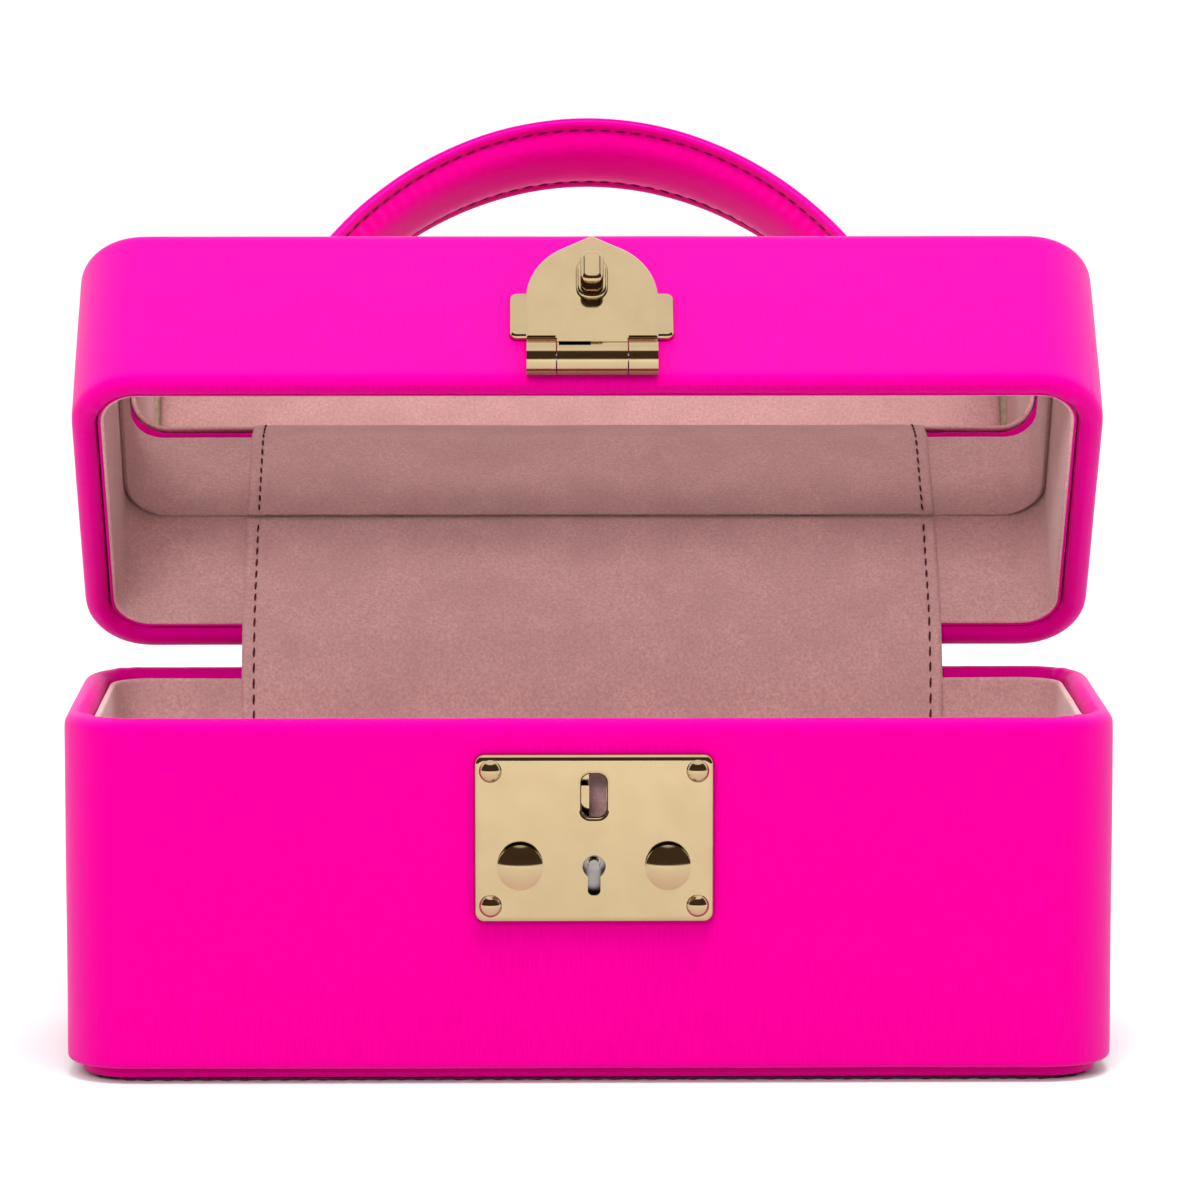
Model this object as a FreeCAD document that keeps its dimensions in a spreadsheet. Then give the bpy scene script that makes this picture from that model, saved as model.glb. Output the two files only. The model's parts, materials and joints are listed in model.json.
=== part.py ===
"""Jewelry box: a satin-covered case with a mirror lid, a riveted case lock and a sprung hasp.

Millimetres, +Z up, X to the right, front face towards -Y. The origin is the centre of the underside.
Lid and hasp pieces are drawn as they stand when the box is shut and locked. Their Placement then
opens the lid about the cloth hinge and lifts the hasp about its pin, which gives the rest pose.
"""

import FreeCAD, Part
import math
import os
import re

import Sketcher
from FreeCAD import Placement, Rotation, Vector

os.makedirs("parts", exist_ok=True)
doc = FreeCAD.newDocument("jewelry_box")

# ---------------------------------------------------------------- driving dimensions

DIMENSIONS = {
    "case_width": 200, "case_depth": 76, "corner_radius": 13,
    "base_height": 70, "lid_height": 42, "rim_gap": 0.5,
    "board": 4, "cover": 0.5, "turn_in": 6, "edge_round": 1.9,
    "sole": 0.8, "sole_inset": 4, "sole_radius": 11, "panel": 2, "panel_inset": 3, "panel_radius": 12,
    "liner": 1.25, "liner_drop": 2, "glue_gap": 0.1,
    "floor_board": 3, "floor_pad": 3.5, "pad_gap": 0.3,
    "mirror_glass": 1.8, "mirror_backing": 5.2, "mirror_gap": 0.35, "mirror_radius": 9,
    "mirror_lean": 4.6, "mirror_bevel": 0.8,
    "open_angle": 50.5, "hinge_back": 3, "hinge_rise": 0.25,
    "strip_width": 140, "strip_shift": 1.2, "suede": 0.7, "satin": 0.5, "bend_start": 1,
    "outer_free": 2, "outer_long": 18, "inner_free": 3, "inner_base_long": 27, "inner_lid_long": 24,
    "shift": 0.8,
    "lock_width": 45.4, "lock_tall": 32.2, "lock_centre": 47.5, "lock_plate": 1.4,
    "lock_corner": 2, "flange": 0.5, "flange_inset": 0.4, "plate_round": 1.2, "slot_round": 0.7,
    "rivet_x": 19.55, "rivet_top": 60.4, "rivet_low": 34.7, "rivet_shank": 0.9, "rivet_head": 2.15,
    "rivet_rise": 1.2, "washer_radius": 2, "washer_thick": 0.4,
    "tray_width": 36, "tray_tall": 28.6, "tray_centre": 47.9, "tray_deep": 4.3, "tray_wall": 0.5,
    "tray_room": 0.4, "window_wide": 7, "window_tall": 10, "window_shift": 2.6,
    "slot_wide": 4.8, "slot_tall": 8.2, "slot_centre": 55.7, "slot_corner": 1.7,
    "key_centre": 42.2, "key_radius": 2.2, "key_tail_wide": 2.4, "key_tail_end": 36.7,
    "post_radius": 1, "post_proud": 0.2, "post_room": 0.25,
    "lever_hub": 2.7, "lever_arm": 6, "lever_thick": 1, "lever_gap": 0.2,
    "knob_x": 13.95, "knob_centre": 42.4, "knob_radius": 4.3, "knob_edge": 1.2, "knob_rise": 1.4,
    "knob_shank": 1.2, "knob_room": 0.2, "collar_radius": 2.9, "collar_long": 1, "collar_gap": 0.2,
    "slide_travel": 1.7, "slide_plate": 1.2, "slide_deep": 1.1, "web_wide": 3.5, "web_below": 2,
    "nose_tall": 3.4, "left_nose": 0.9, "right_nose": 2.35,
    "coil_radius": 0.8, "coil_wire": 0.35, "coil_height": 48.6, "coil_turns": 24,
    "hasp_out": 3.6, "hasp_up": 2.5, "hasp_angle": 165, "barrel_radius": 3.3, "pin_radius": 1,
    "pin_clearance": 0.05, "barrel_half": 12.6, "middle_half": 6.75, "knuckle_gap": 0.25,
    "arch_radius": 12.7, "arch_drop": 13.1, "arch_tip": 27.3, "arch_top": 4.4, "hasp_plate": 1.2,
    "hasp_bevel": 0.35, "tongue_lap": 0.6,
    "wind_radius": 1.6, "wind_wire": 0.5, "wind_turns": 9, "wind_room": 2.2, "wind_end": 0.1,
    "view_tall": 1.5, "view_low": 2.6, "view_end": 0.3, "view_deep": 4,
    "staple_wide": 4.4, "staple_tall": 7, "staple_leg": 1.2, "staple_reach": 5.5, "staple_foot": 1.2,
    "loop_corner": 1.6, "loop_round": 1.1,
    "oval_side": 0.9, "oval_end": 1.1, "oval_thick": 0.9, "oval_round": 0.7,
    "leaf_wide": 32, "leaf_plate": 1.3, "wing_low": 11, "wing_top": 23.3, "wing_corner": 1.6, "wing_round": 0.9,
    "stem_low": 2, "stem_drop": 1, "barrel_window": 8,
    "leaf_rivet_x": 8, "leaf_rivet_up": 17, "leaf_rivet_head": 1.9, "leaf_rivet_rise": 0.6,
    "handle_rise": 62.6, "handle_span": 60, "handle_wide": 18.4, "handle_thick": 5.6,
    "core_wide": 10, "core_thick": 1.6, "core_gap": 0.4,
    "anchor_long": 16, "anchor_wide": 18, "anchor_plate": 1, "anchor_room": 0.5, "screw_spread": 5,
    "screw_radius": 0.8, "screw_head": 1.6, "screw_head_tall": 0.6, "screw_bite": 3,
}

sheet = doc.addObject("Spreadsheet::Sheet", "dims")
for row, (alias, number) in enumerate(DIMENSIONS.items(), start=1):
    sheet.set(f"A{row}", alias)
    sheet.set(f"B{row}", str(number))
    sheet.setAlias(f"B{row}", alias)
doc.recompute()


def size(expression):
    """Value of an expression in the sheet's aliases, in millimetres or degrees."""
    value = sheet.evalExpression(expression)
    return float(getattr(value, "Value", value))


def bound(expression):
    """The same expression as another object writes it: every alias is led by the sheet's name."""
    return re.sub(r"[a-z_]+", lambda word: f"dims.{word[0]}" if word[0] in DIMENSIONS else word[0], expression)


# Levels and places that several pieces share.
PANEL_TOP = "sole + panel"
BASE_LOW = "sole + panel + cover"
LID_RIM = "base_height + rim_gap"
LID_TOP = "base_height + rim_gap + lid_height"
FLOOR_TOP = "sole + panel + cover + floor_board"
INNER_WIDE = "case_width - 2 * cover - 2 * board"
INNER_DEEP = "case_depth - 2 * cover - 2 * board"
INNER_ROUND = "corner_radius - cover - board"
FRONT = "case_depth / 2"
PLATE_BACK = "case_depth / 2 + flange"
HASP_Z = "base_height + rim_gap + hasp_up"
HASP_BACK = "case_depth / 2 + hasp_out - hasp_plate / 2"
CEILING = "base_height + rim_gap + lid_height - cover - board"
PAST_WALL = "cover + board + 1"

# ---------------------------------------------------------------- placements

lid_axis = Vector(0, size("case_depth / 2 + hinge_back"), size("base_height + hinge_rise"))
hasp_axis = Vector(0, -size("case_depth / 2 + hasp_out"), size(HASP_Z))
ON_BASE = Placement()
ON_LID = Placement(Vector(), Rotation(Vector(-1, 0, 0), size("open_angle")), lid_axis)
ON_HASP = ON_LID.multiply(Placement(Vector(), Rotation(Vector(-1, 0, 0), size("hasp_angle")), hasp_axis))

# ---------------------------------------------------------------- building blocks

pieces = []


def keep(piece, label, placement):
    """Name a finished sub-part and put it in its place."""
    piece.Label = label
    piece.Placement = placement
    pieces.append(piece)
    return piece


def new_body(label, placement=ON_BASE):
    """Start a PartDesign body for one sub-part."""
    return keep(doc.addObject("PartDesign::Body", label), label, placement)


def sketch_on(body, role, offset):
    """Sketch on an origin plane of the body: XY_Plane looks up, XZ_Plane looks to the front."""
    sketch = body.newObject("Sketcher::SketchObject", "sketch")
    plane = next(feature for feature in body.Origin.OriginFeatures if feature.Role == role)
    sketch.AttachmentSupport = [(plane, "")]
    sketch.MapMode = "FlatFace"
    sketch.setExpression("AttachmentOffset.Base.z", bound(offset))
    return sketch


def hold(sketch, constraint, expression):
    """Add a dimension and bind it to the sheet."""
    index = sketch.addConstraint(constraint)
    sketch.setExpression(f"Constraints[{index}]", bound(expression))


def draw_rectangle(sketch, width, height, x="0", y="0", radius=None):
    """Rectangle about (x, y) in the sketch, with round corners where a radius is given."""
    cx, cy, half_w, half_h = size(x), size(y), size(width) / 2, size(height) / 2
    r = size(radius) if radius else 0
    west, east, south, north = cx - half_w, cx + half_w, cy - half_h, cy + half_h
    sides = [((west + r, south), (east - r, south)), ((east, south + r), (east, north - r)),
             ((east - r, north), (west + r, north)), ((west, north - r), (west, south + r))]
    lines = [sketch.addGeometry(Part.LineSegment(Vector(*a, 0), Vector(*b, 0))) for a, b in sides]
    if radius:
        centres = [(east - r, south + r), (east - r, north - r), (west + r, north - r), (west + r, south + r)]
        arcs = []
        for turn, centre in enumerate(centres):
            circle = Part.Circle(Vector(*centre, 0), Vector(0, 0, 1), r)
            start = (turn - 1) * math.pi / 2
            arcs.append(sketch.addGeometry(Part.ArcOfCircle(circle, start, start + math.pi / 2)))
        for turn, arc in enumerate(arcs):
            sketch.addConstraint(Sketcher.Constraint("Tangent", lines[turn], 2, arc, 1))
            sketch.addConstraint(Sketcher.Constraint("Tangent", arc, 2, lines[(turn + 1) % 4], 1))
        for arc in arcs[1:]:
            sketch.addConstraint(Sketcher.Constraint("Equal", arcs[0], arc))
        hold(sketch, Sketcher.Constraint("Radius", arcs[0], r), radius)
    else:
        for turn in range(4):
            sketch.addConstraint(Sketcher.Constraint("Coincident", lines[turn], 2, lines[(turn + 1) % 4], 1))
    for turn, line in enumerate(lines):
        sketch.addConstraint(Sketcher.Constraint("Vertical" if turn % 2 else "Horizontal", line))
    hold(sketch, Sketcher.Constraint("DistanceX", lines[3], 1, lines[1], 1, 2 * half_w), width)
    hold(sketch, Sketcher.Constraint("DistanceY", lines[0], 1, lines[2], 1, 2 * half_h), height)
    hold(sketch, Sketcher.Constraint("DistanceX", -1, 1, lines[1], 1, east), f"{x} + ({width}) / 2")
    hold(sketch, Sketcher.Constraint("DistanceY", -1, 1, lines[2], 1, north), f"{y} + ({height}) / 2")


def draw_circle(sketch, radius, x, y):
    """Circle about (x, y) in the sketch."""
    circle = sketch.addGeometry(Part.Circle(Vector(size(x), size(y), 0), Vector(0, 0, 1), size(radius)))
    hold(sketch, Sketcher.Constraint("Radius", circle, size(radius)), radius)
    hold(sketch, Sketcher.Constraint("DistanceX", -1, 1, circle, 3, size(x)), x)
    hold(sketch, Sketcher.Constraint("DistanceY", -1, 1, circle, 3, size(y)), y)


def raise_pad(body, sketch, length):
    """Pad a sketch along its plane's normal."""
    pad = body.newObject("PartDesign::Pad", "pad")
    pad.Profile = sketch
    pad.setExpression("Length", bound(length))
    doc.recompute()
    return pad


def cut_pocket(body, sketch, length, along_normal):
    """Pocket a sketch, and make sure that it took material away."""
    before = body.Shape.Volume
    pocket = body.newObject("PartDesign::Pocket", "pocket")
    pocket.Profile = sketch
    pocket.Reversed = along_normal
    pocket.setExpression("Length", bound(length))
    doc.recompute()
    if body.Shape.Volume > before - 1e-6:
        raise RuntimeError(f"a pocket in {body.Label} cut nothing")
    return pocket


def case_outline(sketch, width, depth, radius):
    """Rounded outline of the case, centred on the origin."""
    draw_rectangle(sketch, width, depth, "0", "0", radius)


def slab(label, placement, width, depth, radius, low, thick):
    """Flat rounded sheet or pad."""
    body = new_body(label, placement)
    sketch = sketch_on(body, "XY_Plane", low)
    case_outline(sketch, width, depth, radius)
    raise_pad(body, sketch, thick)
    return body


def ring(label, placement, width, depth, radius, wall, low, tall):
    """Upright wall that follows the rounded outline."""
    body = new_body(label, placement)
    sketch = sketch_on(body, "XY_Plane", low)
    case_outline(sketch, width, depth, radius)
    case_outline(sketch, f"{width} - 2 * {wall}", f"{depth} - 2 * {wall}", f"{radius} - {wall}")
    raise_pad(body, sketch, tall)
    return body


def front_holes(body, radius, places, from_front, deep):
    """Round holes through the front, drilled backwards from a plane in front of it."""
    sketch = sketch_on(body, "XZ_Plane", from_front)
    for x, z in places:
        draw_circle(sketch, radius, x, z)
    cut_pocket(body, sketch, deep, False)


def front_window(body, width, height, x, z, from_front, deep, radius=None):
    """Rectangular or rounded opening through the front."""
    sketch = sketch_on(body, "XZ_Plane", from_front)
    draw_rectangle(sketch, width, height, x, z, radius)
    cut_pocket(body, sketch, deep, False)


def upward_windows(body, width, depth, places, low, deep):
    """Rectangular openings cut upwards from a level plane."""
    sketch = sketch_on(body, "XY_Plane", low)
    for x, y in places:
        draw_rectangle(sketch, width, depth, x, y)
    cut_pocket(body, sketch, deep, True)


def upward_holes(body, radius, places, low, deep):
    """Round holes drilled upwards from a level plane."""
    sketch = sketch_on(body, "XY_Plane", low)
    for x, y in places:
        draw_circle(sketch, radius, x, y)
    cut_pocket(body, sketch, deep, True)


def cylinder_x(radius, low, high, y, z):
    """Solid round bar along X."""
    return Part.makeCylinder(radius, high - low, Vector(low, y, z), Vector(1, 0, 0))


def cylinder_y(radius, front, back, x, z):
    """Solid round bar along Y, from its front end to its back end."""
    return Part.makeCylinder(radius, back - front, Vector(x, front, z), Vector(0, 1, 0))


def solid_piece(label, shape, placement=ON_BASE):
    """Sub-part whose shape comes from Part's own functions; the shape keeps any place of its own."""
    feature = doc.addObject("Part::Feature", label)
    feature.Shape = shape
    return keep(feature, label, placement.multiply(shape.Placement))


def soften_edges(body, kind, amount, chosen):
    """Fillet or chamfer the edges of the body's last feature that the test picks."""
    solid = body.Tip
    names = [f"Edge{number}" for number, edge in enumerate(solid.Shape.Edges, start=1) if chosen(edge)]
    feature = body.newObject(f"PartDesign::{kind}", kind.lower())
    feature.Base = (solid, names)
    feature.setExpression("Radius" if kind == "Fillet" else "Size", bound(amount))
    doc.recompute()


def lies_on(axis, level, edge):
    """Whether all of an edge is in the plane where x, y or z has that level."""
    box = edge.BoundBox
    low, high = {"y": (box.YMin, box.YMax), "z": (box.ZMin, box.ZMax)}[axis]
    return abs(low - level) < 1e-3 and abs(high - level) < 1e-3


LOCK_RIVETS = [(f"shift {side} rivet_x", height) for side in "+-" for height in ("rivet_top", "rivet_low")]
LEAF_RIVETS = [(f"shift {side} leaf_rivet_x", f"{LID_RIM} + leaf_rivet_up") for side in "+-"]
HANDLE_FEET = [(f"shift {side} handle_span", "0") for side in "+-"]
ANCHOR_SCREWS = [(f"shift {side} handle_span {end} screw_spread", f"0 {row} screw_spread")
                 for side in "+-" for end in "+-" for row in "+-"]

# ---------------------------------------------------------------- base: boards, cover and lining


def wall_board(label, placement, low, tall, rim):
    """Stiff wall board behind the satin, with the edges of its rim sanded round."""
    board = ring(label, placement, "case_width - 2 * cover", "case_depth - 2 * cover",
                 "corner_radius - cover", "board", low, tall)
    soften_edges(board, "Fillet", "edge_round", lambda edge: lies_on("z", size(rim), edge))
    return board


def satin_cover(label, placement, low, high, closed_top):
    """Satin skin: outside, round both rims and a short way down the inside."""
    body = new_body(label, placement)
    outer = sketch_on(body, "XY_Plane", low)
    case_outline(outer, "case_width", "case_depth", "corner_radius")
    raise_pad(body, outer, f"{high} - ({low})")
    opening = sketch_on(body, "XY_Plane", f"{low}")
    case_outline(opening, f"{INNER_WIDE} - 2 * cover", f"{INNER_DEEP} - 2 * cover", f"{INNER_ROUND} - cover")
    depth = f"{high} - ({low}) - cover - board" if closed_top else f"{high} - ({low})"
    cut_pocket(body, opening, depth, True)
    for_board = sketch_on(body, "XY_Plane", f"{low} + cover")
    case_outline(for_board, "case_width - 2 * cover", "case_depth - 2 * cover", "corner_radius - cover")
    case_outline(for_board, INNER_WIDE, INNER_DEEP, INNER_ROUND)
    cut_pocket(body, for_board, f"{high} - ({low}) - 2 * cover", True)
    inside_low = f"{low} + turn_in" if closed_top else f"{low} + cover"
    inside = sketch_on(body, "XY_Plane", inside_low)
    case_outline(inside, INNER_WIDE, INNER_DEEP, INNER_ROUND)
    end = f"{high} - cover" if closed_top else f"{high} - turn_in"
    cut_pocket(body, inside, f"{end} - ({inside_low})", True)
    rounded = {"edge_round + cover": [size(high)], "edge_round": [size(f"{high} - cover")]}
    if closed_top:
        rounded["edge_round + cover"].append(size(low))
        rounded["edge_round"].append(size(f"{low} + cover"))
    for radius, levels in rounded.items():
        soften_edges(body, "Fillet", radius,
                     lambda edge, levels=levels: any(lies_on("z", level, edge) for level in levels))
    return body


def wall_liner(label, placement, low, tall):
    """Suede-faced foam lining of a wall."""
    return ring(label, placement, f"{INNER_WIDE} - 2 * cover - 2 * glue_gap",
                f"{INNER_DEEP} - 2 * cover - 2 * glue_gap", f"{INNER_ROUND} - cover - glue_gap",
                "liner", low, tall)


def make_base():
    """Board box, satin, sole and lining."""
    slab("sole", ON_BASE, "case_width - 2 * sole_inset", "case_depth - 2 * sole_inset",
         "sole_radius", "0", "sole")
    slab("bottom_panel", ON_BASE, "case_width - 2 * panel_inset", "case_depth - 2 * panel_inset",
         "panel_radius", "sole", "panel")
    board = wall_board("base_wall_board", ON_BASE, BASE_LOW, f"base_height - cover - ({BASE_LOW})",
                       "base_height - cover")
    tray_hole = ("tray_width + 2 * tray_room", "tray_tall + 2 * tray_room", "shift", "tray_centre", FRONT)
    front_window(board, *tray_hole, PAST_WALL)
    front_holes(board, "rivet_shank", LOCK_RIVETS, FRONT, PAST_WALL)
    slab("base_floor_board", ON_BASE, f"{INNER_WIDE} - 2 * glue_gap", f"{INNER_DEEP} - 2 * glue_gap",
         f"{INNER_ROUND} - glue_gap", BASE_LOW, "floor_board")
    skin = satin_cover("base_cover", ON_BASE, PANEL_TOP, "base_height", False)
    front_window(skin, *tray_hole, "cover")
    front_holes(skin, "rivet_shank", LOCK_RIVETS, FRONT, "cover")
    wall_liner("base_wall_liner", ON_BASE, FLOOR_TOP, f"base_height - liner_drop - ({FLOOR_TOP})")
    slab("base_floor_pad", ON_BASE, f"{INNER_WIDE} - 2 * cover - 2 * liner - 2 * pad_gap",
         f"{INNER_DEEP} - 2 * cover - 2 * liner - 2 * pad_gap", f"{INNER_ROUND} - cover - liner",
         FLOOR_TOP, "floor_pad")


# ---------------------------------------------------------------- lock


def make_lock_plate():
    """Pressed front plate with its slot, keyhole, knob slots and rivet holes."""
    body = new_body("lock_plate")
    outline = sketch_on(body, "XZ_Plane", PLATE_BACK)
    draw_rectangle(outline, "lock_width", "lock_tall", "shift", "lock_centre", "lock_corner")
    raise_pad(body, outline, "lock_plate")
    face = f"{PLATE_BACK} + lock_plate"
    front = -size(face)
    soften_edges(body, "Fillet", "plate_round", lambda edge: lies_on("y", front, edge))
    middle = Vector(size("shift"), front, size("slot_centre"))
    front_window(body, "slot_wide", "slot_tall", "shift", "slot_centre", face, "lock_plate", "slot_corner")
    soften_edges(body, "Fillet", "slot_round", lambda edge: lies_on("y", front, edge)
                 and edge.CenterOfMass.distanceToPoint(middle) < size("slot_tall"))
    shank_slot = "2 * (knob_shank + knob_room)"
    for side in "+-":
        front_window(body, f"{shank_slot} + slide_travel", shank_slot,
                     f"shift {side} (knob_x + slide_travel / 2)", "knob_centre", face, "lock_plate",
                     f"0.47 * ({shank_slot})")
    front_holes(body, "key_radius", [("shift", "key_centre")], face, "lock_plate")
    front_window(body, "key_tail_wide", "key_centre - key_tail_end", "shift",
                 "(key_centre + key_tail_end) / 2", face, "lock_plate", "0.4 * key_tail_wide")
    front_holes(body, "rivet_shank", LOCK_RIVETS, face, "lock_plate")


def dome(x, z, base, rise, radius):
    """Round cap that stands in front of the plane y = base."""
    ball = (radius ** 2 + rise ** 2) / (2 * rise)
    sphere = Part.makeSphere(ball, Vector(x, base - rise + ball, z))
    corner = Vector(x - 2 * radius, base - rise, z - 2 * radius)
    return sphere.common(Part.makeBox(4 * radius, rise, 4 * radius, corner))


def rivet(x, z, base, rise, radius, shank_back):
    """Domed rivet that points backwards, with its head in front of the plane y = base."""
    shank = cylinder_y(size("rivet_shank"), base - rise / 2, shank_back, x, z)
    return dome(x, z, base, rise, radius).fuse(shank).removeSplitter()


def make_rivets():
    """Four plate rivets and the washers that they clench inside the wall."""
    head = -size(f"{PLATE_BACK} + lock_plate")
    inside = -size(INNER_DEEP) / 2
    end = inside + size("washer_thick")
    rivets, washers = [], []
    for x, z in LOCK_RIVETS:
        rivets.append(rivet(size(x), size(z), head, size("rivet_rise"), size("rivet_head"), end))
        disc = cylinder_y(size("washer_radius"), inside, end, size(x), size(z))
        washers.append(disc.cut(cylinder_y(size("rivet_shank"), inside, end, size(x), size(z))))
    solid_piece("plate_rivets", Part.makeCompound(rivets))
    solid_piece("rivet_washers", Part.makeCompound(washers))


def make_lock_case():
    """Steel tray behind the plate, with a flange that the rivets clamp and a window behind the slot."""
    body = new_body("lock_case")
    flange = sketch_on(body, "XZ_Plane", FRONT)
    draw_rectangle(flange, "lock_width - 2 * flange_inset", "lock_tall - 2 * flange_inset",
                   "shift", "lock_centre", "lock_corner")
    raise_pad(body, flange, "flange")
    tray = sketch_on(body, "XZ_Plane", "case_depth / 2 - tray_deep")
    draw_rectangle(tray, "tray_width", "tray_tall", "shift", "tray_centre")
    raise_pad(body, tray, "tray_deep")
    front_window(body, "tray_width - 2 * tray_wall", "tray_tall - 2 * tray_wall", "shift", "tray_centre",
                 PLATE_BACK, "flange + tray_deep - tray_wall")
    front_window(body, "window_wide", "window_tall", "shift + window_shift", "slot_centre", PLATE_BACK,
                 "flange + tray_deep")
    front_holes(body, "rivet_shank", LOCK_RIVETS, PLATE_BACK, "flange")


TRAY_FLOOR = "case_depth / 2 - tray_deep + tray_wall"
SLIDE_BACK = "case_depth / 2 - slide_deep"
LEVER_BACK = "case_depth / 2 - tray_deep + tray_wall + lever_gap"


def make_key_parts():
    """Key post on the tray's floor, and the lever that the key turns about it."""
    floor = -size(TRAY_FLOOR)
    solid_piece("key_post", cylinder_y(size("post_radius"), -size(f"{FRONT} + post_proud"), floor,
                                       size("shift"), size("key_centre")))
    lever = new_body("key_lever")
    hub = sketch_on(lever, "XZ_Plane", LEVER_BACK)
    draw_circle(hub, "lever_hub", "shift", "key_centre")
    raise_pad(lever, hub, "lever_thick")
    arm = sketch_on(lever, "XZ_Plane", LEVER_BACK)
    draw_rectangle(arm, "key_tail_wide", "lever_arm", "shift", "key_centre - lever_arm / 2")
    raise_pad(lever, arm, "lever_thick")
    front_holes(lever, "post_radius + post_room", [("shift", "key_centre")],
                f"{LEVER_BACK} + lever_thick", "lever_thick")


def make_slide(side_name, side, nose):
    """Sliding bolt plate with the domed knob that moves it."""
    plate = new_body(f"{side_name}_slide_plate")
    web = sketch_on(plate, "XZ_Plane", SLIDE_BACK)
    low, high = "knob_centre - web_below", "slot_centre + nose_tall / 2"
    draw_rectangle(web, "web_wide", f"{high} - ({low})", f"shift {side} knob_x", f"({high} + {low}) / 2")
    raise_pad(plate, web, "slide_plate")
    bolt = sketch_on(plate, "XZ_Plane", SLIDE_BACK)
    draw_rectangle(bolt, f"knob_x - {nose}", "nose_tall", f"shift {side} (knob_x + {nose}) / 2", "slot_centre")
    raise_pad(plate, bolt, "slide_plate")
    x = size(f"shift {side} knob_x")
    z = size("knob_centre")
    plate_face = -size(f"{PLATE_BACK} + lock_plate")
    web_face = -size(f"{SLIDE_BACK} + slide_plate")
    collar_back = plate_face - size("collar_gap")
    back = collar_back - size("collar_long")
    edge = back - size("knob_edge")
    button = dome(x, z, edge, size("knob_rise"), size("knob_radius"))
    button = button.fuse([cylinder_y(size("knob_radius"), edge, back, x, z),
                          cylinder_y(size("collar_radius"), back, collar_back, x, z),
                          cylinder_y(size("knob_shank"), back, web_face, x, z)])
    solid_piece(f"{side_name}_knob", button.removeSplitter())


def coil_x(radius, wire, low, high, y, z, turns):
    """Round wire coil along X."""
    helix = Part.makeHelix((high - low - wire) / turns, high - low - wire, radius)
    profile = Part.Wire(Part.Circle(Vector(radius, 0, 0), Vector(0, 1, 0), wire / 2).toShape())
    coil = Part.Wire(helix).makePipeShell([profile], True, True)
    coil.Placement = Placement(Vector(low + wire / 2, y, z), Rotation(Vector(0, 1, 0), 90))
    return Part.Solid(coil) if coil.ShapeType == "Shell" else coil


def make_slide_spring():
    """Tension spring that draws the two slides together."""
    reach = size("knob_x - web_wide / 2")
    y = -size(SLIDE_BACK) - size("slide_plate") / 2
    centre = size("shift")
    solid_piece("slide_spring", coil_x(size("coil_radius"), size("coil_wire"), centre - reach, centre + reach,
                                       y, size("coil_height"), size("coil_turns")))


# ---------------------------------------------------------------- cloth hinge strips


def lid_point(y, z):
    """A point of the shut lid, as (y, z), carried to the rest pose."""
    moved = ON_LID.multVec(Vector(0, y, z))
    return moved.y, moved.z


def cloth_strip(label, line, thick, placement=ON_BASE):
    """Strip of cloth right across the case; its middle follows a line of (y, z) points."""
    places = [Vector(0, y, z) for y, z in line]
    runs = [(after - before).normalize() for before, after in zip(places, places[1:])]
    runs = [runs[0]] + runs + [runs[-1]]
    upper, lower = [], []
    for place, coming, going in zip(places, runs, runs[1:]):
        along = (coming + going).normalize()
        mitre = Vector(0, -along.z, along.y) * (thick / 2 / along.dot(coming))
        upper.append(place + mitre)
        lower.append(place - mitre)
    left = Vector(size("strip_shift - strip_width / 2"), 0, 0)
    outline = [corner + left for corner in upper + lower[::-1]]
    face = Part.Face(Part.makePolygon(outline + outline[:1]))
    return solid_piece(label, face.extrude(Vector(size("strip_width"), 0, 0)), placement)


def make_strips():
    """Outer satin strip and inner suede strip, each glued to base and lid with a free bend between."""
    rim, lid_rim = size("base_height"), size(LID_RIM)
    lining = size(f"({INNER_DEEP}) / 2 - cover - glue_gap - liner")
    start = size("bend_start")
    outside = size("case_depth / 2 + satin / 2")
    inside = lining - size("suede / 2")
    strips = [("outer", outside, "satin", "outer_free", "outer_long", "outer_long"),
              ("inner", inside, "suede", "inner_free", "inner_base_long", "inner_lid_long")]
    for name, y, *names in strips:
        thick, free, base_long, lid_long = (size(alias) for alias in names)
        cloth_strip(f"{name}_strip_base", [(y, rim - free - base_long), (y, rim - free)], thick)
        cloth_strip(f"{name}_strip_lid", [(y, lid_rim + free), (y, lid_rim + free + lid_long)], thick, ON_LID)
        bend = [(y, rim - free), (y, rim - start), lid_point(y, lid_rim + start), lid_point(y, lid_rim + free)]
        cloth_strip(f"{name}_strip_bend", bend, thick)


# ---------------------------------------------------------------- lid


def make_lid():
    """Lid boards, satin and lining."""
    board = wall_board("lid_wall_board", ON_LID, f"{LID_RIM} + cover", f"{CEILING} - ({LID_RIM} + cover)",
                       f"{LID_RIM} + cover")
    front_holes(board, "rivet_shank", LEAF_RIVETS, FRONT, PAST_WALL)
    slit = ("core_thick + core_gap", "core_wide + core_gap", HANDLE_FEET)
    top = slab("lid_top_board", ON_LID, "case_width - 2 * cover", "case_depth - 2 * cover",
               "corner_radius - cover", CEILING, "board")
    soften_edges(top, "Fillet", "edge_round", lambda edge: lies_on("z", size(f"{CEILING} + board"), edge))
    upward_windows(top, *slit, CEILING, "board")
    upward_holes(top, "screw_radius", ANCHOR_SCREWS, CEILING, "screw_bite")
    skin = satin_cover("lid_cover", ON_LID, LID_RIM, LID_TOP, True)
    front_holes(skin, "rivet_shank", LEAF_RIVETS, FRONT, "cover")
    upward_windows(skin, *slit, f"{LID_TOP} - cover", "cover")
    wall_liner("lid_wall_liner", ON_LID, f"{LID_RIM} + liner_drop", f"{CEILING} - ({LID_RIM} + liner_drop)")


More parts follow.
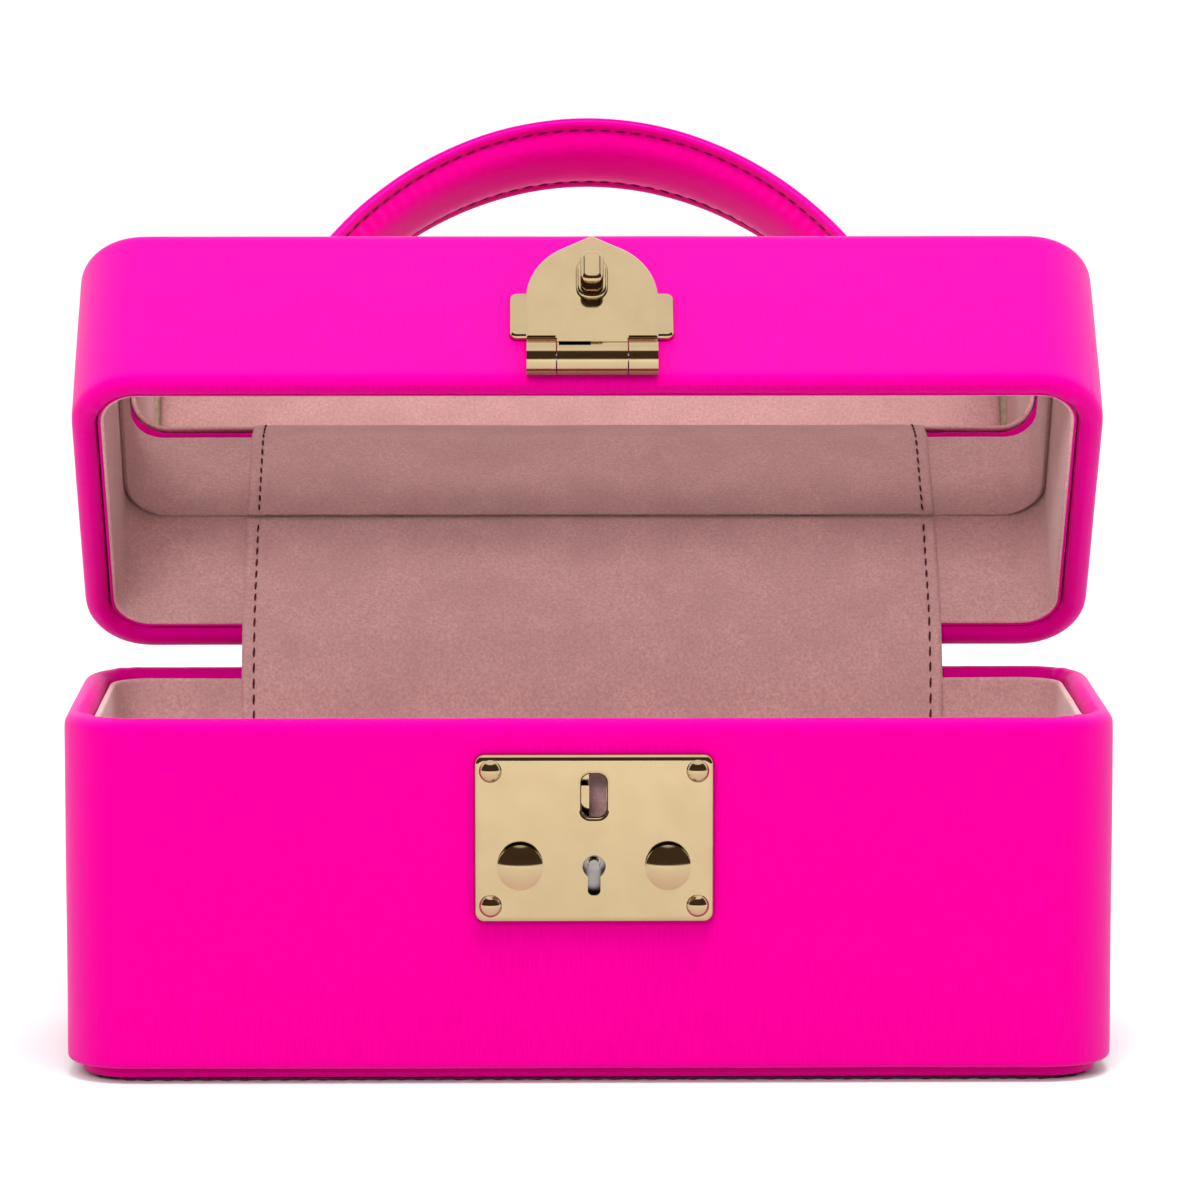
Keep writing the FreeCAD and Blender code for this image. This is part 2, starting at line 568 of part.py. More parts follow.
def make_mirror():
    """Mirror that leans a little towards the user on a wedge of board, with a polished bevel."""
    across = f"{INNER_WIDE} - 2 * cover - 2 * liner - 2 * mirror_gap"
    along = f"{INNER_DEEP} - 2 * cover - 2 * liner - 2 * mirror_gap"
    face = f"{CEILING} - mirror_backing - mirror_glass"
    rear_edge = Vector(0, size(f"({along}) / 2"), size(face))
    lean = Placement(Vector(), Rotation(Vector(-1, 0, 0), size("mirror_lean")), rear_edge)
    backing = slab("mirror_backing", ON_LID, across, along, "mirror_radius",
                   f"{CEILING} - mirror_backing", "mirror_backing")
    wedge = sketch_on(backing, "XY_Plane", "0")
    wedge.setExpression("AttachmentOffset.Base.z", None)
    glass_back = Placement(Vector(0, 0, size(f"{face} + mirror_glass")), Rotation())
    wedge.AttachmentOffset = lean.multiply(glass_back)
    draw_rectangle(wedge, "2 * case_width", "2 * case_depth")
    cut_pocket(backing, wedge, "case_depth", False)
    upward_windows(backing, "anchor_long + 2 * anchor_room", "anchor_wide + 2 * anchor_room", HANDLE_FEET,
                   f"{CEILING} - mirror_backing", "mirror_backing")
    glass = slab("mirror_glass", ON_LID.multiply(lean), across, along, "mirror_radius", face, "mirror_glass")
    soften_edges(glass, "Chamfer", "mirror_bevel", lambda edge: lies_on("z", rear_edge.z, edge))


# ---------------------------------------------------------------- hasp


def make_leaf():
    """Hasp leaf riveted to the lid, with the two outer knuckles of the barrel."""
    body = new_body("hasp_leaf", ON_LID)
    wings = sketch_on(body, "XZ_Plane", FRONT)
    draw_rectangle(wings, "leaf_wide", "wing_top - wing_low", "shift",
                   f"{LID_RIM} + (wing_top + wing_low) / 2", "wing_corner")
    raise_pad(body, wings, "leaf_plate")
    soften_edges(body, "Fillet", "wing_round", lambda edge: lies_on("y", -size(f"{FRONT} + leaf_plate"), edge))
    stem = sketch_on(body, "XZ_Plane", FRONT)
    draw_rectangle(stem, "2 * barrel_half", "wing_top - stem_drop - stem_low", "shift",
                   f"{LID_RIM} + (wing_top - stem_drop + stem_low) / 2")
    raise_pad(body, stem, "leaf_plate")
    front_window(body, "2 * (middle_half + knuckle_gap)", "barrel_window", "shift", HASP_Z,
                 f"{FRONT} + 2 * leaf_plate", "3 * leaf_plate")
    front_holes(body, "rivet_shank", LEAF_RIVETS, f"{FRONT} + leaf_plate", "leaf_plate")
    for side in "+-":
        add_knuckle(body, f"shift {side} (barrel_half + middle_half + knuckle_gap) / 2")


def sketch_across(body, x):
    """Sketch on the body's YZ plane, moved along X."""
    sketch = body.newObject("Sketcher::SketchObject", "cross_sketch")
    plane = next(feature for feature in body.Origin.OriginFeatures if feature.Role == "YZ_Plane")
    sketch.AttachmentSupport = [(plane, "")]
    sketch.MapMode = "FlatFace"
    sketch.setExpression("AttachmentOffset.Base.z", bound(x))
    return sketch


def add_knuckle(body, x_centre):
    """Hinge knuckle: a ring about the hasp's pin, padded evenly both ways along X."""
    sketch = sketch_across(body, x_centre)
    for radius in ("barrel_radius", "pin_radius"):
        draw_circle(sketch, radius, "0 - (case_depth / 2 + hasp_out)", HASP_Z)
    pad = body.newObject("PartDesign::Pad", "knuckle_pad")
    pad.Profile = sketch
    pad.Midplane = True
    pad.setExpression("Length", bound("barrel_half - middle_half - knuckle_gap"))
    doc.recompute()


def arch_face():
    """Outline of the hasp plate: straight sides, a round end and a small point."""
    centre_x = size("shift")
    axis_z = size(HASP_Z)
    r = size("arch_radius")
    top, middle, tip = (axis_z - size(name) for name in ("arch_top", "arch_drop", "arch_tip"))
    turn = math.acos(r / (middle - tip))
    stops = (turn, (turn + math.pi / 2) / 2, math.pi / 2)
    edges = []
    for side in (1, -1):
        begin, half_way, end = (Vector(centre_x + side * r * math.sin(angle), 0, middle - r * math.cos(angle))
                                for angle in stops)
        edges.append(Part.makeLine(Vector(centre_x, 0, tip), begin))
        edges.append(Part.Arc(begin, half_way, end).toShape())
        edges.append(Part.makeLine(end, Vector(centre_x + side * r, 0, top)))
    edges.append(Part.makeLine(Vector(centre_x + r, 0, top), Vector(centre_x - r, 0, top)))
    return Part.Face(Part.Wire(Part.__sortEdges__(edges)))


def make_hasp():
    """Hasp plate with its middle knuckle, the staple, the pin and the coil spring on it."""
    thick = size("hasp_plate")
    back = -size(HASP_BACK)
    axis_y, axis_z = hasp_axis.y, hasp_axis.z
    x, half = size("shift"), size("middle_half")
    barrel = size("barrel_radius")
    arch = arch_face()
    arch.translate(Vector(0, back - thick, 0))
    plate = arch.extrude(Vector(0, thick, 0))
    rim = [edge for edge in plate.Edges if edge.BoundBox.YLength < 1e-6]
    plate = plate.makeChamfer(size("hasp_bevel"), rim)
    tongue_long = size("arch_top + tongue_lap")
    tongue = Part.makeBox(2 * half, thick, tongue_long, Vector(x - half, back - thick, axis_z - tongue_long))
    plate = plate.fuse([tongue, cylinder_x(barrel, x - half, x + half, axis_y, axis_z)])
    bore = cylinder_x(size("pin_radius + pin_clearance"), x - half, x + half, axis_y, axis_z)
    end = size("view_end")
    spring_room = cylinder_x(size("wind_room"), x - half, x - end + size("wind_end"), axis_y, axis_z)
    window = Part.makeBox(half - 2 * end, size("view_deep"), size("view_tall"),
                          Vector(x - half + end, axis_y, axis_z - size("view_low")))
    plate = plate.cut(bore).cut(spring_room).cut(window).removeSplitter()
    solid_piece("hasp_plate", plate, ON_HASP)
    spring = coil_x(size("wind_radius"), size("wind_wire"), x - half + size("wind_end"), x - end,
                    axis_y, axis_z, size("wind_turns"))
    solid_piece("hasp_spring", spring, ON_HASP)
    reach = size("barrel_half")
    solid_piece("hasp_pin", cylinder_x(size("pin_radius"), x - reach, x + reach, axis_y, axis_z), ON_LID)
    make_staple(back)


def make_staple(back):
    """Looped staple with an oval collar; the bolts pass through its window from the sides."""
    body = new_body("staple", ON_HASP)
    collar = sketch_on(body, "XZ_Plane", f"{HASP_BACK} - oval_thick")
    draw_rectangle(collar, "staple_wide + 2 * oval_side", "staple_tall + 2 * oval_end", "shift", "slot_centre",
                   "0.45 * (staple_wide + 2 * oval_side)")
    raise_pad(body, collar, "oval_thick")
    soften_edges(body, "Fillet", "oval_round", lambda edge: lies_on("y", -size(f"{HASP_BACK} - oval_thick"), edge))
    loop = sketch_on(body, "XZ_Plane", f"{HASP_BACK} - staple_reach")
    draw_rectangle(loop, "staple_wide", "staple_tall", "shift", "slot_centre", "loop_corner")
    raise_pad(body, loop, "staple_reach")
    soften_edges(body, "Fillet", "loop_round", lambda edge: lies_on("y", -size(f"{HASP_BACK} - staple_reach"), edge))
    window = sketch_across(body, "shift")
    gap = "staple_reach - staple_leg - staple_foot"
    draw_rectangle(window, gap, "staple_tall - 2 * staple_leg",
                   f"0 - ({HASP_BACK} - staple_reach + staple_leg + ({gap}) / 2)", "slot_centre")
    cut = body.newObject("PartDesign::Pocket", "window_cut")
    cut.Profile = window
    cut.Midplane = True
    cut.setExpression("Length", bound("2 * staple_wide"))
    doc.recompute()


def make_leaf_rivets():
    """Two low rivets that hold the leaf, clenched inside the lid's wall board."""
    head = -size(f"{FRONT} + leaf_plate")
    inside = -size(f"({INNER_DEEP}) / 2")
    rivets = [rivet(size(x), size(z), head, size("leaf_rivet_rise"), size("leaf_rivet_head"), inside)
              for x, z in LEAF_RIVETS]
    solid_piece("leaf_rivets", Part.makeCompound(rivets), ON_LID)


# ---------------------------------------------------------------- handle


def handle_line():
    """Poles of the right half of the strap's middle line; the inner two are shares of its span and rise."""
    rise, span, base = size("handle_rise"), size("handle_span"), size(LID_TOP)
    return [Vector(0, 0, base + rise), Vector(span * 0.56, 0, base + rise),
            Vector(span * 0.98, 0, base + rise * 0.38), Vector(span, 0, base)]


def strap(wide, thick):
    """Arched strap with its ends on the lid: two mirrored halves between offset curves."""
    quarter = Part.BezierCurve()
    quarter.setPoles(handle_line())
    steps = 24
    inner, outer = [], []
    for step in range(steps + 1):
        u = step / steps
        point, tangent = quarter.value(u), quarter.tangent(u)[0]
        across = Vector(-tangent.z, 0, tangent.x) * (thick / 2)
        outer.append(point + across if across.z >= 0 or across.x > 0 else point - across)
        inner.append(point * 2 - outer[-1])
    curves = []
    for edge in (outer, inner):
        full = [Vector(-point.x, 0, point.z) for point in reversed(edge[1:])] + edge
        spline = Part.BSplineCurve()
        spline.interpolate(full)
        curves.append(spline.toShape())
    ends = [Part.makeLine(Vector(side * a.x, 0, a.z), Vector(side * b.x, 0, b.z))
            for side, a, b in ((1, outer[-1], inner[-1]), (-1, outer[-1], inner[-1]))]
    face = Part.Face(Part.Wire(Part.__sortEdges__(curves + ends)))
    face.translate(Vector(0, -wide / 2, 0))
    above = Part.makeBox(4 * size("handle_span"), 2 * wide, 2 * size("handle_rise"),
                         Vector(-2 * size("handle_span"), -wide, size(LID_TOP)))
    return face.extrude(Vector(0, wide, 0)).common(above)


def make_handle():
    """Padded strap: satin over a springy core whose ends pass through the lid's top board."""
    middle = Vector(size("shift"), 0, 0)
    core = strap(size("core_wide"), size("core_thick"))
    cover = strap(size("handle_wide"), size("handle_thick")).cut(core)
    top, span = size(LID_TOP), size("handle_span")
    tail = size("cover + board + anchor_plate")
    thick, wide = size("core_thick"), size("core_wide")
    tails = [Part.makeBox(thick, wide, tail, Vector(side * span - thick / 2, -wide / 2, top - tail))
             for side in (1, -1)]
    core = core.fuse(tails).removeSplitter()
    for shape in (core, cover):
        shape.translate(middle)
    solid_piece("handle_core", core, ON_LID)
    solid_piece("handle_cover", cover, ON_LID)


def make_handle_anchors():
    """Steel plates that hold the core's ends under the top board, each with four short screws."""
    ceiling = size(CEILING)
    plate, long, wide = size("anchor_plate"), size("anchor_long"), size("anchor_wide")
    radius, head, tall, bite = (size(f"screw_{name}") for name in ("radius", "head", "head_tall", "bite"))
    screws = []
    for x, y in ANCHOR_SCREWS:
        at = Vector(size(x), size(y), ceiling - plate)
        shank = Part.makeCylinder(radius, plate + bite, at)
        screws.append(shank.fuse(Part.makeCone(head / 2, head, tall, at - Vector(0, 0, tall))).removeSplitter())
    slit_x, slit_y = size("core_thick + core_gap"), size("core_wide + core_gap")
    plates = []
    for x, _ in HANDLE_FEET:
        corner = Vector(size(x) - long / 2, -wide / 2, ceiling - plate)
        slit = Part.makeBox(slit_x, slit_y, plate, Vector(size(x) - slit_x / 2, -slit_y / 2, ceiling - plate))
        plates.append(Part.makeBox(long, wide, plate, corner).cut(slit).cut(Part.makeCompound(screws)))
    solid_piece("handle_anchors", Part.makeCompound(plates), ON_LID)
    solid_piece("anchor_screws", Part.makeCompound(screws), ON_LID)


make_base()
make_lock_plate()
make_rivets()
make_lock_case()
make_key_parts()
make_slide("left", "-", "left_nose")
make_slide("right", "+", "right_nose")
make_slide_spring()
make_strips()
make_lid()
make_mirror()
make_leaf()
make_hasp()
make_leaf_rivets()
make_handle()
make_handle_anchors()

# ---------------------------------------------------------------- test and write

doc.recompute()
for item in doc.Objects:
    if "Invalid" in item.State or "Error" in item.State:
        raise RuntimeError(f"{item.Label} failed: {item.State}")
for piece in pieces:
    if piece.Shape.isNull() or not piece.Shape.isValid():
        raise RuntimeError(f"{piece.Label} has no valid shape")
for piece in pieces:
    piece.Shape.exportStep(f"parts/{piece.Label}.step")
    print(f"{piece.Label:20s} {len(piece.Shape.Solids)} solid  {piece.Shape.Volume:9.1f} mm3")
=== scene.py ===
"""Looks of the satin jewelry box. Metres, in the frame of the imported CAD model.

Lid pieces are modelled as they stand when the box is shut, and an object matrix opens them.
"""

import json
import math

import bmesh
import bpy
from mathutils import Matrix, Vector, noise


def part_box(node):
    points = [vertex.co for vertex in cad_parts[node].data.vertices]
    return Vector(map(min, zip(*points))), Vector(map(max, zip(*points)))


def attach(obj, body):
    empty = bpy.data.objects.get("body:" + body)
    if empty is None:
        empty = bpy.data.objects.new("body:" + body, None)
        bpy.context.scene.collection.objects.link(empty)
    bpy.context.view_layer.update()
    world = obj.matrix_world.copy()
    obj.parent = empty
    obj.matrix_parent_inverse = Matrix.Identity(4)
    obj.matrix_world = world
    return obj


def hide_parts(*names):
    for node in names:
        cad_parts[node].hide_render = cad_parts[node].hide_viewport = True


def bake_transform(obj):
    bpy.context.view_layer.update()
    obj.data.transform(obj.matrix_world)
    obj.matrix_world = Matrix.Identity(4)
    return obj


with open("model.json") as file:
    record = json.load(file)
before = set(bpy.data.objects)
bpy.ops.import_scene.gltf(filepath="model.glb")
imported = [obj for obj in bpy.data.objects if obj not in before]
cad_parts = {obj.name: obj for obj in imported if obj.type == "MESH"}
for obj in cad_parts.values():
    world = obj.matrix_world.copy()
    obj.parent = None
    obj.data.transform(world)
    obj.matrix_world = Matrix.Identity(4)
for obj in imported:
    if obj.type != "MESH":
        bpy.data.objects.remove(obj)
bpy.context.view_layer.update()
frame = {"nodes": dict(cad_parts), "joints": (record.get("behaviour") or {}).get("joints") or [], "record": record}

MM = 0.001

# ---------------------------------------------------------------- frame

hinge = next(joint for joint in frame["joints"] if joint["name"] == "lid_hinge")
hinge_point = Vector(hinge["pos_m"])
open_turn = Matrix.Rotation(math.radians(-hinge["range_deg"][0]), 4, Vector(hinge["axis"]))
OPEN_LID = Matrix.Translation(hinge_point) @ open_turn @ Matrix.Translation(-hinge_point)
SHUT_LID = OPEN_LID.inverted()
IN_PLACE = Matrix.Identity(4)


def shut_box(node):
    """Lowest and highest corner of a lid node, as it stands when the box is shut."""
    corners = [SHUT_LID @ vertex.co for vertex in frame["nodes"][node].data.vertices]
    low = Vector(min(corner[axis] for corner in corners) for axis in range(3))
    high = Vector(max(corner[axis] for corner in corners) for axis in range(3))
    return low, high


case_low, case_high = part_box("base_cover")
HALF_X = case_high.x
HALF_Y = case_high.y
BASE_BOTTOM = case_low.z
BASE_RIM = case_high.z
LID_RIM, LID_TOP = (corner.z for corner in shut_box("lid_cover"))
CORNER = 13 * MM
BOARD_AND_COVER = 5 * MM
LINER_BACK = 5.15 * MM
LINER_FACE = 6.35 * MM
SHIFT = 0.8 * MM

# ---------------------------------------------------------------- shader helpers


class Shader:
    """A node material with the few node patterns that this scene repeats."""

    def __init__(self, name, **constants):
        self.material = bpy.data.materials.new(name)
        self.material.use_nodes = True
        self.tree = self.material.node_tree
        self.surface = self.tree.nodes["Principled BSDF"]
        for socket, value in constants.items():
            self.surface.inputs[socket.replace("_", " ")].default_value = value

    def add(self, kind, **settings):
        """New node; settings are its own properties."""
        node = self.tree.nodes.new(kind)
        for key, value in settings.items():
            setattr(node, key, value)
        return node

    def join(self, output, socket):
        self.tree.links.new(output, socket)

    def place(self, stretch=(1, 1, 1), cloth=False):
        """Object position, or the cloth's own length and width, stretched along its axes."""
        if cloth:
            start = self.add("ShaderNodeUVMap", uv_map="cloth").outputs["UV"]
        else:
            start = self.add("ShaderNodeTexCoord").outputs["Object"]
        mapping = self.add("ShaderNodeMapping")
        mapping.inputs["Scale"].default_value = stretch
        self.join(start, mapping.inputs["Vector"])
        return mapping.outputs["Vector"]

    def speckle(self, size, detail=2, stretch=(1, 1, 1), cloth=False, rough=0.5):
        """Noise whose blobs are about size metres across, from 0 to 1."""
        texture = self.add("ShaderNodeTexNoise")
        texture.inputs["Scale"].default_value = 1 / size
        texture.inputs["Detail"].default_value = detail
        texture.inputs["Roughness"].default_value = rough
        self.join(self.place(stretch, cloth), texture.inputs["Vector"])
        return texture.outputs["Fac"]

    def remap(self, value, low, high, start=0.3, end=0.7):
        """Noise between start and end, spread from low to high."""
        node = self.add("ShaderNodeMapRange")
        for socket, number in (("From Min", start), ("From Max", end), ("To Min", low), ("To Max", high)):
            node.inputs[socket].default_value = number
        self.join(value, node.inputs["Value"])
        return node.outputs["Result"]

    def blend(self, fac, first, second):
        """Mix of two colours; each is a colour or a socket."""
        node = self.add("ShaderNodeMix", data_type="RGBA")
        self.join(fac, node.inputs["Factor"])
        for socket, colour in ((node.inputs[6], first), (node.inputs[7], second)):
            if isinstance(colour, tuple):
                socket.default_value = (*colour, 1)
            else:
                self.join(colour, socket)
        return node.outputs[2]

    def paint(self, colour):
        self.join(colour, self.surface.inputs["Base Color"])

    def roughen(self, value):
        self.join(value, self.surface.inputs["Roughness"])

    def bump(self, height, depth, strength=1.0):
        """Raise the surface by height times depth metres; later calls add to earlier ones."""
        node = self.add("ShaderNodeBump")
        node.inputs["Strength"].default_value = strength
        node.inputs["Distance"].default_value = depth
        self.join(height, node.inputs["Height"])
        if self.surface.inputs["Normal"].links:
            self.join(self.surface.inputs["Normal"].links[0].from_socket, node.inputs["Normal"])
        self.join(node.outputs["Normal"], self.surface.inputs["Normal"])


# ---------------------------------------------------------------- materials


def satin_material():
    """Duchess satin: warp threads run up the case, with a tight sheen and faint slubs."""
    shader = Shader("satin", Roughness=0.48, Specular_IOR_Level=0.14, Specular_Tint=(1, 0.0, 0.55, 1),
                    Sheen_Weight=0.05, Sheen_Roughness=0.35, Sheen_Tint=(1, 0.1, 0.6, 1))
    threads = shader.speckle(0.28 * MM, 1, (1, 0.05, 1), cloth=True)
    picks = shader.speckle(0.28 * MM, 1, (0.06, 1, 1), cloth=True)
    clouds = shader.speckle(26 * MM, 3)
    deep = shader.blend(shader.remap(threads, 0, 1), (0.555, 0.0, 0.198), (0.62, 0.0, 0.226))
    shader.paint(shader.blend(shader.remap(clouds, 0, 0.5), deep, (0.575, 0.0, 0.208)))
    shader.bump(threads, 0.035 * MM, 0.5)
    shader.bump(picks, 0.02 * MM, 0.4)
    return shader.material


def suede_material(name, dark, light):
    """Brushed suede with a speckled nap."""
    shader = Shader(name, Roughness=1.0, Specular_IOR_Level=0.1,
                    Sheen_Weight=0.35, Sheen_Roughness=0.5, Sheen_Tint=(1, 0.86, 0.84, 1))
    nap = shader.speckle(0.55 * MM, 4, rough=0.65)
    strokes = shader.speckle(9 * MM, 3)
    base = shader.blend(shader.remap(nap, 0, 1, 0.32, 0.68), dark, light)
    shader.paint(shader.blend(shader.remap(strokes, 0, 0.4), base, tuple(0.88 * part for part in dark)))
    shader.bump(nap, 0.12 * MM, 0.8)
    return shader.material


def metal_material(name, colour, worn, rough_low, rough_high):
    """Polished metal with faint smudges and a few hair scratches."""
    shader = Shader(name, Metallic=1.0)
    smudge = shader.speckle(6 * MM, 3)
    hair = shader.speckle(0.6 * MM, 2, (0.08, 1, 1))
    shader.paint(shader.blend(shader.remap(smudge, 0, 1), colour, worn))
    shader.roughen(shader.remap(smudge, rough_low, rough_high))
    shader.bump(hair, 0.004 * MM, 0.3)
    return shader.material


def mirror_material():
    """Silvered glass with the faintest haze."""
    shader = Shader("mirror", Metallic=1.0)
    haze = shader.speckle(14 * MM, 2)
    shader.paint(shader.blend(shader.remap(haze, 0, 1), (0.90, 0.885, 0.875), (0.87, 0.86, 0.85)))
    shader.roughen(shader.remap(haze, 0.005, 0.02))
    return shader.material


def board_material(name, dark, light):
    """Pressed fibre board."""
    shader = Shader(name, Roughness=0.85)
    fibres = shader.speckle(1.2 * MM, 4, (1, 1, 0.3))
    shader.paint(shader.blend(shader.remap(fibres, 0, 1), dark, light))
    shader.bump(fibres, 0.05 * MM)
    return shader.material


def cloth_material(name, dark, light, pitch, depth):
    """Plain twisted or woven cloth and thread."""
    shader = Shader(name, Roughness=0.6, Specular_IOR_Level=0.15)
    weave = shader.speckle(pitch, 2)
    shader.paint(shader.blend(shader.remap(weave, 0, 1), dark, light))
    shader.bump(weave, depth, 0.7)
    return shader.material


SATIN = satin_material()
SUEDE = suede_material("suede", (0.48, 0.265, 0.262), (0.70, 0.415, 0.405))
GOLD = metal_material("gold", (0.43, 0.325, 0.187), (0.40, 0.30, 0.170), 0.06, 0.11)
STEEL = metal_material("steel", (0.30, 0.28, 0.27), (0.24, 0.225, 0.215), 0.20, 0.30)
MIRROR = mirror_material()
BOARD = board_material("board", (0.45, 0.33, 0.21), (0.62, 0.48, 0.33))
CORE = board_material("core", (0.03, 0.03, 0.035), (0.05, 0.05, 0.055))
SOLE_CLOTH = cloth_material("sole_cloth", (0.10, 0.006, 0.045), (0.19, 0.012, 0.085), 0.5 * MM, 0.06 * MM)
SUEDE_THREAD = cloth_material("suede_thread", (0.055, 0.008, 0.014), (0.12, 0.02, 0.03),
                              0.25 * MM, 0.04 * MM)
SATIN_THREAD = cloth_material("satin_thread", (0.11, 0.0, 0.03), (0.18, 0.0, 0.05),
                              0.25 * MM, 0.04 * MM)

SLOT_MATERIALS = {"satin": SATIN, "suede": SUEDE, "board": BOARD, "sole_cloth": SOLE_CLOTH, "gold": GOLD,
                  "steel": STEEL, "core": CORE, "mirror": MIRROR}

# ---------------------------------------------------------------- mesh helpers


def new_piece(name, bm, material, matrix=IN_PLACE):
    """Object made from a bmesh, smooth shaded, at the given place."""
    mesh = bpy.data.meshes.new(name)
    bm.to_mesh(mesh)
    bm.free()
    for face in mesh.polygons:
        face.use_smooth = True
    mesh.materials.append(material)
    piece = bpy.data.objects.new(name, mesh)
    bpy.context.scene.collection.objects.link(piece)
    piece.matrix_world = matrix
    return piece


def settle(piece):
    """Turn the piece's modifiers into plain mesh."""
    graph = bpy.context.evaluated_depsgraph_get()
    done = bpy.data.meshes.new_from_object(piece.evaluated_get(graph), depsgraph=graph)
    piece.modifiers.clear()
    piece.data = done
    return piece


def thicken(piece, thickness):
    """Give an open cloth a thickness behind its face."""
    solidify = piece.modifiers.new("thickness", "SOLIDIFY")
    solidify.thickness = thickness
    solidify.offset = -1
    return settle(piece)


def soften(piece):
    """Subdivide the piece smoothly, once."""
    smooth = piece.modifiers.new("smooth", "SUBSURF")
    smooth.levels = 1
    smooth.render_levels = 1
    return settle(piece)


class Rim:
    """Points round the case's outline, each with its outward normal and its distance along the edge."""

    def __init__(self, half_x, half_y, radius, step=2 * MM, arc_steps=10):
        self.points = []
        self.core = half_x - half_y
        self.corners = []
        straight_x, straight_y = half_x - radius, half_y - radius
        walk = [((0, half_y), (-straight_x, half_y), (-straight_x, straight_y)),
                ((-half_x, straight_y), (-half_x, -straight_y), (-straight_x, -straight_y)),
                ((-straight_x, -half_y), (0, -half_y), None),
                ((0, -half_y), (straight_x, -half_y), (straight_x, -straight_y)),
                ((half_x, -straight_y), (half_x, straight_y), (straight_x, straight_y)),
                ((straight_x, half_y), (0, half_y), None)]
        run = 0.0
        for begin, end, centre in walk:
            begin, end = Vector(begin), Vector(end)
            length = (end - begin).length
            along = (end - begin) / length
            steps = max(2, round(length / step))
            for count in range(steps):
                at = begin + along * length * count / steps
                self.points.append((at.x, at.y, along.y, -along.x, run + length * count / steps))
            run += length
            if centre:
                start = math.pi / 2 * (len(self.corners) + 1)
                self.corners.append(run + radius * math.pi / 4)
                for count in range(arc_steps):
                    angle = start + math.pi / 2 * count / arc_steps
                    nx, ny = math.cos(angle), math.sin(angle)
                    x, y = centre
                    self.points.append((x + radius * nx, y + radius * ny, nx, ny,
                                        run + radius * math.pi / 2 * count / arc_steps))
                run += radius * math.pi / 2
        self.length = run

    def to_corner(self, run):
        """Distance along the edge from the nearest corner, negative before it."""
        half = self.length / 2
        gaps = [(run - corner + half) % self.length - half for corner in self.corners]
        return min(gaps, key=abs)


CASE = Rim(HALF_X, HALF_Y, CORNER)


def arc_profile(centre, radius, start, end, steps=5):
    """Points of a round edge in a profile: offset from the outline and height; angles in degrees."""
    points = []
    for count in range(steps + 1):
        angle = math.radians(start + (end - start) * count / steps)
        points.append((centre[0] + radius * math.cos(angle), centre[1] + radius * math.sin(angle)))
    return points


def filled(profile, step):
    """The profile with extra points, none further apart than step."""
    points = [profile[0]]
    for before, after in zip(profile, profile[1:]):
        length = math.dist(before, after)
        parts = max(1, math.ceil(length / step))
        for count in range(1, parts + 1):
            share = count / parts
            points.append(tuple(a + (b - a) * share for a, b in zip(before, after)))
    return points


def loft(name, material, rim, profile, matrix=IN_PLACE, ripple=None, closed=False, caps=()):
    """Sweep a profile of (offset, height) round an outline.

    ripple(run, offset, height, point) says how far a point moves out.
    caps is any of "start" and "end": that end of the profile is filled flat to the middle of the outline.
    """
    bm = bmesh.new()
    cloth = bm.loops.layers.uv.new("cloth")
    rows = []
    lengths = [0.0]
    for before, after in zip(profile, profile[1:]):
        lengths.append(lengths[-1] + math.dist(before, after))
    count = len(profile)
    for index, (offset, height) in enumerate(profile):
        before = profile[(index - 1) % count if closed else max(0, index - 1)]
        after = profile[(index + 1) % count if closed else min(count - 1, index + 1)]
        slope = Vector((after[0] - before[0], after[1] - before[1])).normalized()
        row = []
        for x, y, nx, ny, run in rim.points:
            point = Vector((x + nx * offset, y + ny * offset, height))
            if ripple:
                out = Vector((nx * slope.y, ny * slope.y, -slope.x))
                point += out * ripple(run, offset, height, point)
            row.append(bm.verts.new(point))
        rows.append(row)
    columns = len(rim.points)
    pairs = [(index, index + 1) for index in range(count - 1)]
    if closed:
        pairs.append((count - 1, 0))
        lengths.append(lengths[-1] + math.dist(profile[-1], profile[0]))
    for low, high in pairs:
        for column in range(columns):
            nearby = (column + 1) % columns
            face = bm.faces.new((rows[low][column], rows[low][nearby],
                                 rows[high][nearby], rows[high][column]))
            begin = rim.points[column][4]
            end = rim.points[nearby][4] if nearby else rim.length
            lower, upper = lengths[low], lengths[low + 1]
            places = ((begin, lower), (end, lower), (end, upper), (begin, upper))
            for loop, place in zip(face.loops, places):
                loop[cloth].uv = place
    for cap in caps:
        cap_end(bm, cloth, rim, rows[-1] if cap == "end" else rows[0], cap == "end")
    bmesh.ops.remove_doubles(bm, verts=bm.verts, dist=0.005 * MM)
    return new_piece(name, bm, material, matrix)


def cap_end(bm, cloth, rim, edge, up):
    """Fill a lofted shell's end with rings that close on the outline's middle line."""
    rings = [edge]
    level = sum(vertex.co.z for vertex in edge) / len(edge)
    for share in (0.12, 0.3, 0.5, 0.7, 0.86, 1.0):
        ring = []
        for vertex in edge:
            middle = Vector((max(-rim.core, min(rim.core, vertex.co.x)), 0, level))
            ring.append(bm.verts.new(vertex.co.lerp(middle, share)))
        rings.append(ring)
    for outer, inner in zip(rings, rings[1:]):
        for column in range(len(edge)):
            nearby = (column + 1) % len(edge)
            corners = (outer[column], outer[nearby], inner[nearby], inner[column])
            face = bm.faces.new(corners if up else corners[::-1])
            for loop in face.loops:
                loop[cloth].uv = (loop.vert.co.x, loop.vert.co.y)


